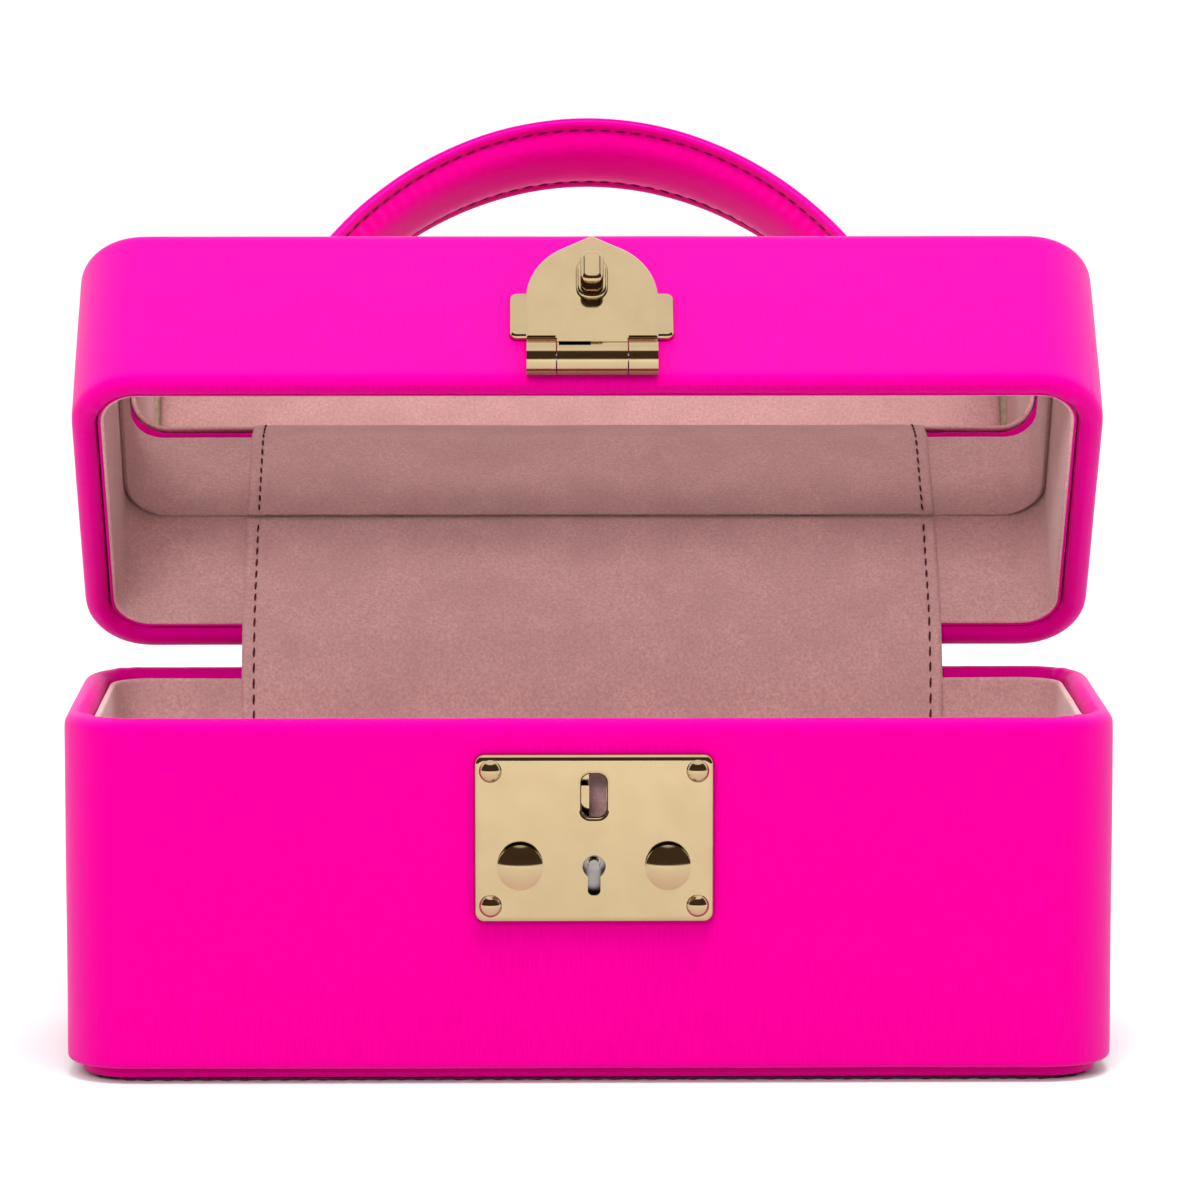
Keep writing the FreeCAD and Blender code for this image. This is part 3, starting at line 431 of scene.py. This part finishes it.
def stitches(name, material, seams, length, radius, matrix=IN_PLACE):
    """Row of sewn stitches as small rounded beads; seams is a list of (place, direction, normal)."""
    bm = bmesh.new()
    for place, along, up in seams:
        along = along.normalized()
        side = up.cross(along).normalized()
        turn = Matrix((along, side, along.cross(side))).transposed().to_4x4()
        bead = Matrix.Diagonal((length / 2, radius, radius * 0.8, 1))
        bmesh.ops.create_uvsphere(bm, u_segments=8, v_segments=6, radius=1,
                                  matrix=Matrix.Translation(place) @ turn @ bead)
    return new_piece(name, bm, material, matrix)


def hump(distance, width):
    """Bell of height 1 and the given width."""
    return math.exp(-(distance / width) ** 2)


def wander(point, size, seed=0.0):
    """Smooth noise from -1 to 1 with blobs about size metres across."""
    return noise.noise(point / size + Vector((seed, 1.7 * seed, 0.6 * seed)))


# ---------------------------------------------------------------- satin covers

RIM_ROUND = 2.4 * MM
FOLD_ROUND = 2.2 * MM
TURN_IN = 6 * MM
BOTTOM_ROUND = 1.2 * MM
TOP_ROUND = 2.4 * MM
SATIN_THICK = 0.35 * MM


def rim_profile(height, up):
    """Round outer edge, flat rim and tighter inner fold, from the outside in; up is 1 or -1."""
    outer = arc_profile((-RIM_ROUND, height - up * RIM_ROUND), RIM_ROUND, 0, up * 90)
    fold = (-BOARD_AND_COVER + FOLD_ROUND, height - up * FOLD_ROUND)
    inner = arc_profile(fold, FOLD_ROUND, up * 90, up * 180, 4)
    turned = (-BOARD_AND_COVER, height - up * TURN_IN)
    flat = filled([outer[-1], inner[0]], 0.8 * MM)
    hidden = filled([inner[-1], turned], 1.2 * MM)
    return outer + flat[1:] + inner[1:] + hidden[1:]


def satin_ripple(rim, rim_height):
    """Slack of the satin: soft swells on the walls, folds where it turns the corners of the rim."""
    # Each fold's place from the corner's middle, its width and its height, in mm.
    corner_folds = ((-6.5, 0.7, 0.40), (-2.2, 0.8, 0.60), (1.4, 0.6, 0.50), (5.2, 0.9, 0.40))

    def ripple(run, offset, height, point):
        swell = 0.10 * MM * wander(point, 34 * MM) + 0.03 * MM * wander(point, 9 * MM, 3)
        inside = max(0.0, min(1.0, (-offset - 1.5 * MM) / (2 * MM)))
        if inside == 0 or abs(height - rim_height) > 1.5 * TURN_IN:
            return swell - 0.10 * MM
        near = rim.to_corner(run)
        folds = sum(size * MM * hump(near - place * MM, width * MM) for place, width, size in corner_folds)
        creases = 0.13 * MM * wander(Vector((run, 0.3 * height, 0)), 3.1 * MM, 7)
        return swell - 0.10 * MM + inside * (folds + creases)
    return ripple


def cut_front(piece, centre_z, half_wide, half_tall):
    """Take the satin away behind the lock, where its tray stands in the wall."""
    bm = bmesh.new()
    bm.from_mesh(piece.data)
    gone = []
    for face in bm.faces:
        middle = face.calc_center_median()
        inside = abs(middle.x - SHIFT) < half_wide and abs(middle.z - centre_z) < half_tall
        if inside and middle.y < -HALF_Y + 1.5 * MM:
            gone.append(face)
    bmesh.ops.delete(bm, geom=gone, context="FACES")
    bm.to_mesh(piece.data)
    bm.free()


def make_base_satin():
    """Satin over the base: turned under the bottom, up the walls, round the rim and into the inside."""
    tray_low, tray_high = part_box("lock_case")
    under = [(-5 * MM, BASE_BOTTOM), (-3 * MM, BASE_BOTTOM)]
    bottom = arc_profile((-BOTTOM_ROUND, BASE_BOTTOM + BOTTOM_ROUND), BOTTOM_ROUND, -90, 0)
    wall = filled([bottom[-1], (0, BASE_RIM - RIM_ROUND)], 2 * MM)
    profile = under + bottom[:-1] + wall[:-1] + rim_profile(BASE_RIM, 1)
    piece = loft("base_satin", SATIN, CASE, profile, ripple=satin_ripple(CASE, BASE_RIM))
    middle = (tray_low + tray_high) / 2
    half = (tray_high - tray_low) / 2
    cut_front(piece, middle.z, half.x - 2.5 * MM, half.z - 1.8 * MM)
    thicken(piece, SATIN_THICK)
    soften(piece)
    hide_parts("base_cover")
    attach(piece, "base")


def make_lid_satin():
    """Satin over the lid: round the rim, up the walls and over the top in one piece."""
    top = arc_profile((-TOP_ROUND, LID_TOP - TOP_ROUND), TOP_ROUND, 0, 90)
    wall = filled([(0, LID_RIM + RIM_ROUND), (0, LID_TOP - TOP_ROUND)], 2 * MM)
    crown = [(-6 * MM, LID_TOP + 0.1 * MM), (-10 * MM, LID_TOP + 0.15 * MM)]
    profile = rim_profile(LID_RIM, -1)[::-1] + wall[1:-1] + top + crown
    piece = loft("lid_satin", SATIN, CASE, profile, OPEN_LID,
                 ripple=satin_ripple(CASE, LID_RIM), caps=["end"])
    thicken(piece, SATIN_THICK)
    soften(piece)
    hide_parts("lid_cover")
    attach(piece, "lid")


# ---------------------------------------------------------------- suede lining


def nap_ripple(seed):
    """Foam-backed suede: soft dents and a fuzzy edge."""
    depth = 0.10 * MM

    def ripple(run, offset, height, point):
        fuzz = 0.04 * MM * wander(point, 1.6 * MM, seed)
        return depth * wander(point, 14 * MM, seed) + fuzz - depth
    return ripple


def make_wall_lining(name, node, low, high, open_down, matrix, body, seed):
    """Suede-faced foam on a wall, with a soft rounded edge at the rim; open_down puts the rim below."""
    edge = low if open_down else high
    turn = 1 if open_down else -1
    back, face, soft = -LINER_BACK, -LINER_FACE, 0.55 * MM
    lip = arc_profile((face + soft, edge + turn * soft), soft, 180, 180 + turn * 90, 4)
    far = high if open_down else low
    outer = filled([(back, far), (back, edge)], 6 * MM)
    inner = filled([lip[0], (face, far)], 2.2 * MM)
    profile = outer + lip[::-1] + inner[1:]
    if not open_down:
        profile.reverse()
    piece = loft(name, SUEDE, CASE, profile, matrix, ripple=nap_ripple(seed), closed=True)
    soften(piece)
    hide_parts(node)
    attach(piece, body)


def make_linings():
    """Base and lid wall linings, and the pink edge beside the lid's suede."""
    low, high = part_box("base_wall_liner")
    make_wall_lining("base_suede", "base_wall_liner", low.z, high.z, False, IN_PLACE, "base", 1.0)
    low, high = shut_box("lid_wall_liner")
    make_wall_lining("lid_suede", "lid_wall_liner", low.z, high.z, True, OPEN_LID, "lid", 5.0)
    bead = arc_profile((-5.5 * MM, low.z - 0.15 * MM), 0.28 * MM, 0, 315, 7)
    piece = loft("lid_edging", SATIN, CASE, bead[::-1], OPEN_LID, closed=True)
    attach(piece, "lid")


def inflate(piece, cap, floor):
    """Blow the closed cloth up a little; no point moves further than cap or sinks below the floor."""
    before = [vertex.co.copy() for vertex in piece.data.vertices]
    cloth = piece.modifiers.new("cloth", "CLOTH")
    cloth.settings.use_pressure = True
    cloth.settings.uniform_pressure_force = 4
    cloth.settings.effector_weights.gravity = 0
    cloth.settings.quality = 4
    for step in range(1, 13):
        bpy.context.scene.frame_set(step)
    settle(piece)
    bpy.context.scene.frame_set(1)
    for vertex, start in zip(piece.data.vertices, before):
        moved = vertex.co - start
        if moved.length > cap:
            vertex.co = start + moved.normalized() * cap
        vertex.co.z = max(vertex.co.z, floor)


def make_floor_pad():
    """Foam pad on the base's floor, as simulated cloth under pressure."""
    low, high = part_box("base_floor_pad")
    inset = 0.6 * MM
    rim = Rim(high.x - inset, high.y - inset, 6 * MM, 4 * MM, 6)
    profile = [(0, low.z + 0.2 * MM), (0, high.z - 0.6 * MM)]
    piece = loft("floor_pad", SUEDE, rim, profile, caps=["start", "end"])
    remesh = piece.modifiers.new("even", "REMESH")
    remesh.mode = "VOXEL"
    remesh.voxel_size = 1.7 * MM
    settle(piece)
    inflate(piece, 1.3 * MM, low.z)
    soften(piece)
    piece.data.materials.clear()
    piece.data.materials.append(SUEDE)
    for face in piece.data.polygons:
        face.use_smooth = True
    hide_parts("base_floor_pad")
    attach(piece, "base")


# ---------------------------------------------------------------- bottom


def make_bottom():
    """Satin-covered bottom panel and the stitched sole under it."""
    low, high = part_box("bottom_panel")
    inset = HALF_X - high.x
    edge = 0.7 * MM
    sides = (arc_profile((-inset - edge, low.z + edge), edge, -90, 0, 4)
             + arc_profile((-inset - edge, high.z - edge), edge, 0, 90, 4))
    panel = loft("bottom_satin", SATIN, CASE, sides, caps=["start", "end"])
    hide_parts("bottom_panel")
    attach(panel, "base")
    low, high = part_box("sole")
    inset = HALF_X - high.x
    pitch = 3.7 * MM

    def scallop(run, offset, height, point):
        return 0.14 * MM * (math.cos(2 * math.pi * run / pitch) - 1)
    rim = Rim(HALF_X - inset, HALF_Y - inset, 11 * MM, 0.6 * MM, 16)
    edge = 0.25 * MM
    sides = (arc_profile((-edge, edge), edge, -90, 0, 3)
             + arc_profile((-edge, high.z - edge), edge, 0, 90, 3))
    sole = loft("sole_cloth", SOLE_CLOTH, rim, sides, ripple=scallop, caps=["start", "end"])
    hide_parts("sole")
    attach(sole, "base")


# ---------------------------------------------------------------- hinge strips


class Strip:
    """Cloth on the inside or outside of the rear walls; its middle is a smooth line in y and z."""

    def __init__(self, base_points, lid_points, step):
        knots = [Vector((0, y, z)) for y, z in base_points]
        knots += [OPEN_LID @ Vector((0, y, z)) for y, z in lid_points]
        self.points = smooth_line(knots, step)
        self.normals = []
        last = len(self.points) - 1
        for index in range(len(self.points)):
            along = self.points[min(last, index + 1)] - self.points[max(0, index - 1)]
            along.normalize()
            self.normals.append(Vector((0, -along.z, along.y)))
        self.length = sum((b - a).length for a, b in zip(self.points, self.points[1:]))
        self.step = self.length / last

    def at(self, run):
        """Point, direction and front-facing normal at a distance along the strip."""
        place = max(0.0, min(len(self.points) - 1.001, run / self.step))
        index = int(place)
        share = place - index
        point = self.points[index].lerp(self.points[index + 1], share)
        normal = self.normals[index].lerp(self.normals[index + 1], share)
        return point, (self.points[index + 1] - self.points[index]).normalized(), normal


def even_points(knots, step):
    """Points evenly spaced along a line of knots, about step apart, and their true spacing."""
    runs = [0.0]
    for before, after in zip(knots, knots[1:]):
        runs.append(runs[-1] + (after - before).length)
    count = round(runs[-1] / step)
    points, index = [], 0
    for number in range(count + 1):
        want = runs[-1] * number / count
        while index < len(runs) - 2 and runs[index + 1] < want:
            index += 1
        share = (want - runs[index]) / max(1e-12, runs[index + 1] - runs[index])
        points.append(knots[index].lerp(knots[index + 1], min(1.0, share)))
    return points, runs[-1] / count


def smooth_line(knots, step):
    """Even points on a line through straight runs with its turns rounded off."""
    dense = [knots[0]]
    for before, after in zip(knots, knots[1:]):
        parts = max(1, round((after - before).length / (0.2 * MM)))
        dense += [before.lerp(after, count / parts) for count in range(1, parts + 1)]
    for _ in range(160):
        middle = [(a + b + c) / 3 for a, b, c in zip(dense, dense[1:], dense[2:])]
        dense = [dense[0]] + middle + [dense[-1]]
    return even_points(dense, step)[0]


STRIP_LOW, STRIP_HIGH = (corner.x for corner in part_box("inner_strip_base"))
STITCH_PITCH = 3.2 * MM
STITCH_MARGIN = 2.4 * MM


def strip_surface(name, material, strip, sink, thick):
    """Mesh of a strip; sink(x, run) says how far its face is pressed in."""
    columns = round((STRIP_HIGH - STRIP_LOW) / (0.8 * MM))
    bm = bmesh.new()
    cloth = bm.loops.layers.uv.new("cloth")
    rows = []
    for index, (point, normal) in enumerate(zip(strip.points, strip.normals)):
        run = index * strip.step
        row = []
        for column in range(columns + 1):
            x = STRIP_LOW + (STRIP_HIGH - STRIP_LOW) * column / columns
            row.append(bm.verts.new(point + Vector((x, 0, 0)) - normal * sink(x, run)))
        rows.append(row)
    for index in range(len(rows) - 1):
        for column in range(columns):
            corners = (rows[index][column], rows[index][column + 1], rows[index + 1][column + 1],
                       rows[index + 1][column])
            face = bm.faces.new(corners)
            for loop, shift in zip(face.loops, ((0, 0), (1, 0), (1, 1), (0, 1))):
                loop[cloth].uv = ((column + shift[0]) * 0.8 * MM, (index + shift[1]) * strip.step)
    piece = new_piece(name, bm, material)
    return thicken(piece, thick)


def suede_sink(x, run):
    """Dents of the suede strip: its seams pull it in and its free edges roll back a little."""
    edge = min(x - STRIP_LOW, STRIP_HIGH - x)
    beat = 0.5 + 0.5 * math.cos(2 * math.pi * run / STITCH_PITCH)
    seam = hump(edge - STITCH_MARGIN, 0.55 * MM) * (0.14 + 0.20 * beat) * MM
    roll = 0.22 * MM * hump(edge, 0.7 * MM)
    place = Vector((x, run, 0))
    puff = 0.09 * MM * wander(place, 18 * MM, 2) + 0.03 * MM * wander(place, 3 * MM, 9)
    return seam + roll + puff


def make_inner_strip():
    """Suede strip from the base's rear wall, over the bend, to under the mirror, with its two seams."""
    low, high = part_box("inner_strip_base")
    mirror_face = shut_box("mirror_glass")[0].z
    y = low.y
    strip = Strip([(y, low.z), (y, BASE_RIM - 2.5 * MM)],
                  [(y, LID_RIM + 2.5 * MM), (y, mirror_face - 0.3 * MM)], 0.8 * MM)
    piece = strip_surface("suede_strip", SUEDE, strip, suede_sink, 0.65 * MM)
    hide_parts("inner_strip_base", "inner_strip_bend", "inner_strip_lid")
    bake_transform(piece)
    seams = []
    for edge in (STRIP_LOW + STITCH_MARGIN, STRIP_HIGH - STITCH_MARGIN):
        for number in range(int(strip.length / STITCH_PITCH)):
            run = (number + 0.5) * STITCH_PITCH
            point, along, normal = strip.at(run)
            place = point + Vector((edge, 0, 0)) - normal * (suede_sink(edge, run) - 0.10 * MM)
            seams.append((place, along + Vector((0.05, 0, 0)), normal))
    thread = stitches("strip_stitches", SUEDE_THREAD, seams, 2.3 * MM, 0.24 * MM)
    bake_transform(thread)


def make_outer_strip():
    """Satin strip over the outside of the hinge."""
    base_low, base_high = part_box("outer_strip_base")
    lid_high = shut_box("outer_strip_lid")[1]
    y = base_high.y
    strip = Strip([(y, base_low.z), (y, BASE_RIM - 2 * MM)],
                  [(y, LID_RIM + 2 * MM), (y, lid_high.z)], 1 * MM)

    def sink(x, run):
        edge = min(x - STRIP_LOW, STRIP_HIGH - x)
        ends = min(run, strip.length - run)
        hem = 0.16 * MM * (hump(edge - 2.2 * MM, 0.6 * MM) + hump(ends - 2.2 * MM, 0.6 * MM))
        return 0.06 * MM * wander(Vector((x, run, 0)), 12 * MM, 4) - hem
    piece = strip_surface("outer_strip", SATIN, strip, sink, 0.45 * MM)
    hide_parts("outer_strip_base", "outer_strip_bend", "outer_strip_lid")
    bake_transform(piece)


# ---------------------------------------------------------------- handle


def handle_line():
    """Even points of the strap's middle line in the shut lid's frame, and their spacing."""
    rise, span = 62.6 * MM, 60 * MM
    poles = [(0, rise), (span * 0.56, rise), (span * 0.98, rise * 0.38), (span, 0)]
    quarter = []
    for count in range(201):
        u = count / 200
        weights = ((1 - u) ** 3, 3 * u * (1 - u) ** 2, 3 * u * u * (1 - u), u ** 3)
        quarter.append(tuple(sum(weight * pole[axis] for weight, pole in zip(weights, poles))
                             for axis in range(2)))
    knots = [Vector((-x, 0, z)) for x, z in reversed(quarter[1:])] + [Vector((x, 0, z)) for x, z in quarter]
    points, spacing = even_points(knots, 0.8 * MM)
    return [point + Vector((SHIFT, 0, LID_TOP)) for point in points], spacing


SEAM_IN = 7.3 * MM


def handle_section():
    """Half of the strap's cross-section, from the middle of its top to the middle of its underside, in mm.

    Thin sewn edges stand out beside a padded roll; each entry is (across, out, ruffle).
    """
    top = [(0, 2.8, 0), (2.6, 2.78, 0), (5.4, 2.7, 0), (6.8, 2.5, 0), (7.3, 2.3, 0), (7.7, 2.45, 0)]
    sewn_edge = [(8.3, 2.5, 0), (8.85, 2.35, 0), (9.17, 2.0, 0), (9.17, 1.7, 0), (8.95, 1.45, 0),
                 (9.15, 1.15, 0), (9.17, 0.8, 0), (8.85, 0.42, 0), (8.3, 0.28, 0.1), (7.75, 0.28, 0.2)]
    ruffled = [(7.3, 0.45, 0.3), (6.9, 0.25, 0.7), (6.5, -0.1, 1), (5.95, -0.7, 1), (5.3, -1.3, 0.7)]
    underside = [(4.6, -1.8, 0.3), (3.6, -2.25, 0.1), (2.4, -2.55, 0), (1.2, -2.68, 0)]
    return top + sewn_edge + ruffled + underside


def handle_frames():
    """Point, direction and outward normal at even steps along the strap, and the step."""
    points, step = handle_line()
    last = len(points) - 1
    frames = []
    for index, point in enumerate(points):
        along = (points[min(last, index + 1)] - points[max(0, index - 1)]).normalized()
        frames.append((point, along, Vector((-along.z, 0, along.x))))
    return frames, step


def handle_mesh(frames, step):
    """The strap's section swept along its frames, puckered beside the seams and closed at both ends."""
    half = handle_section()
    ring = half + [(0, -2.7, 0)] + [(-across, out, ruffle) for across, out, ruffle in reversed(half[1:])]
    bm = bmesh.new()
    cloth = bm.loops.layers.uv.new("cloth")
    rows = []
    for index, (point, _, out) in enumerate(frames):
        run = index * step
        row = []
        for across, rise, ruffle in ring:
            side = 1 if across > 0 else -1
            pucker = 0.22 * math.sin(2 * math.pi * run / STITCH_PITCH + side)
            pucker += 0.18 * noise.noise(Vector((run / (2.1 * MM), 3.0 * side, 0)))
            slack = 0.06 * noise.noise(Vector((run / (11 * MM), across / 4, 8)))
            wide = across + side * ruffle * pucker
            lift = out * (rise + slack * (1 - ruffle)) * MM
            row.append(bm.verts.new(point + Vector((0, wide * MM, 0)) + lift))
        rows.append(row)
    for index in range(len(rows) - 1):
        for column in range(len(ring)):
            nearby = (column + 1) % len(ring)
            face = bm.faces.new((rows[index][column], rows[index + 1][column],
                                 rows[index + 1][nearby], rows[index][nearby]))
            for loop, shift in zip(face.loops, ((0, 0), (1, 0), (1, 1), (0, 1))):
                loop[cloth].uv = ((column + shift[1]) * 1.1 * MM, (index + shift[0]) * step)
    bm.faces.new(rows[0])
    bm.faces.new(rows[-1][::-1])
    bmesh.ops.recalc_face_normals(bm, faces=bm.faces)
    return bm


def make_handle():
    """Arched strap: a padded roll with two sewn edges."""
    frames, step = handle_frames()
    piece = new_piece("handle_satin", handle_mesh(frames, step), SATIN, OPEN_LID)
    soften(piece)
    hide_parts("handle_cover")
    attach(piece, "lid")
    make_handle_stitches(frames, step)


def make_handle_stitches(frames, step):
    """Four rows of thread: above and below each sewn edge."""
    last = len(frames) - 1
    seams = []
    for number in range(int(last * step / STITCH_PITCH)):
        point, along, out = frames[min(last, round((number + 0.5) * STITCH_PITCH / step))]
        for side in (1, -1):
            for rise, up in ((0.30, -1), (2.40, 1)):
                place = point + Vector((0, side * SEAM_IN, 0)) + out * rise * MM
                seams.append((place, along + Vector((0, 0.06 * side, 0)), out * up))
    thread = stitches("handle_stitches", SATIN_THREAD, seams, 2.2 * MM, 0.22 * MM, OPEN_LID)
    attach(thread, "lid")


# ---------------------------------------------------------------- CAD pieces


def paint_cad_nodes():
    """Every CAD node takes the material of its slot in the record."""
    slots = {part["node"]: part["material_slot"] for part in frame["record"]["subparts"]}
    for name, piece in frame["nodes"].items():
        piece.data.materials.clear()
        piece.data.materials.append(SLOT_MATERIALS[slots[name]])


# ---------------------------------------------------------------- stage, light and camera


def make_stage():
    """White floor, out past the horizon, with painted shade that makes it a little greyer about the box."""
    bm = bmesh.new()
    bmesh.ops.create_grid(bm, x_segments=2, y_segments=2, size=9)
    shader = Shader("stage_white", Roughness=0.9, Specular_IOR_Level=0.1)
    # Painted shade: the floor's colour is grey 0.66 within 0.3 m of the box and pales to 0.97 by 1.8 m.
    distance = shader.add("ShaderNodeVectorMath", operation="LENGTH")
    shader.join(shader.add("ShaderNodeTexCoord").outputs["Object"], distance.inputs[0])
    painted_shade_falloff = shader.remap(distance.outputs["Value"], 0, 1, 0.3, 1.8)
    shader.paint(shader.blend(painted_shade_falloff, (0.66, 0.66, 0.66), (0.97, 0.97, 0.97)))
    floor = new_piece("floor", bm, shader.material)
    floor.location.z = -0.02 * MM


def make_world():
    """Soft white studio with a wide dark gap in front, from the table's edge up to the ceiling.

    Polished metal mirrors the gap; what lights the box is the ceiling, the table and the area lights.
    """
    world = bpy.data.worlds.new("studio")
    bpy.context.scene.world = world
    world.use_nodes = True
    tree = world.node_tree
    background = tree.nodes["Background"]
    background.inputs["Strength"].default_value = 1.0
    split = tree.nodes.new("ShaderNodeSeparateXYZ")
    tree.links.new(tree.nodes.new("ShaderNodeTexCoord").outputs["Generated"], split.inputs["Vector"])
    front = tree.nodes.new("ShaderNodeMapRange")
    front.interpolation_type = "SMOOTHSTEP"
    front.inputs["From Min"].default_value = -0.02
    front.inputs["From Max"].default_value = -0.2
    tree.links.new(split.outputs["Y"], front.inputs["Value"])
    ramp = tree.nodes.new("ShaderNodeValToRGB")
    stops = ramp.color_ramp.elements
    table, gap, ceiling = (1.2, 1.2, 1.2), (0.10, 0.065, 0.05), (1.62, 1.62, 1.62)
    for sine, colour in ((0.0, table), (0.02, gap), (0.80, gap), (0.87, ceiling)):
        stop = stops.new(sine)
        stop.color = (*colour, 1)
    stops.remove(stops[0])
    stops.remove(stops[-1])
    tree.links.new(split.outputs["Z"], ramp.inputs["Fac"])
    mix = tree.nodes.new("ShaderNodeMix")
    mix.data_type = "RGBA"
    mix.inputs[6].default_value = (1.5, 1.5, 1.5, 1)
    tree.links.new(front.outputs["Result"], mix.inputs["Factor"])
    tree.links.new(ramp.outputs["Color"], mix.inputs[7])
    tree.links.new(mix.outputs[2], background.inputs["Color"])


def add_light(name, place, target, wide, tall, power):
    """Soft rectangular light that faces a point and leaves no image of itself in the metal."""
    light = bpy.data.lights.new(name, "AREA")
    light.shape = "RECTANGLE"
    light.size = wide
    light.size_y = tall
    light.energy = power
    lamp = bpy.data.objects.new(name, light)
    bpy.context.scene.collection.objects.link(lamp)
    lamp.location = place
    lamp.rotation_euler = (Vector(target) - Vector(place)).to_track_quat("-Z", "Y").to_euler()
    lamp.visible_glossy = False


def make_camera():
    """Camera a little above the table, far off, looking straight at the front."""
    target = Vector((2.37, 0, 87.84)) * MM
    distance = 1174.7 * MM
    rise, turn = math.radians(7.24), math.radians(-0.66)
    back = Vector((math.sin(turn) * math.cos(rise), -math.cos(turn) * math.cos(rise), math.sin(rise)))
    lens = bpy.data.cameras.new("camera")
    lens.lens = 181.5
    lens.sensor_width = 36
    lens.clip_end = 50
    camera = bpy.data.objects.new("camera", lens)
    bpy.context.scene.collection.objects.link(camera)
    camera.location = target + back * distance
    camera.rotation_euler = (-back).to_track_quat("-Z", "Y").to_euler()
    bpy.context.scene.camera = camera


paint_cad_nodes()
make_base_satin()
make_lid_satin()
make_linings()
make_floor_pad()
make_bottom()
make_inner_strip()
make_outer_strip()
make_handle()

make_stage()
make_world()
for side in (-1, 1):
    add_light("side_light", (side * 0.95, -0.65, 1.25), (0, 0, 0.08), 0.8, 0.8, 6)
add_light("front_light", (-0.25, -1.35, 0.85), (0, 0, 0.08), 0.7, 0.5, 14)
add_light("top_light", (0.1, -0.42, 1.15), (0, -0.02, 0.02), 0.6, 0.35, 12)
make_camera()
bpy.context.scene.view_settings.view_transform = "Standard"
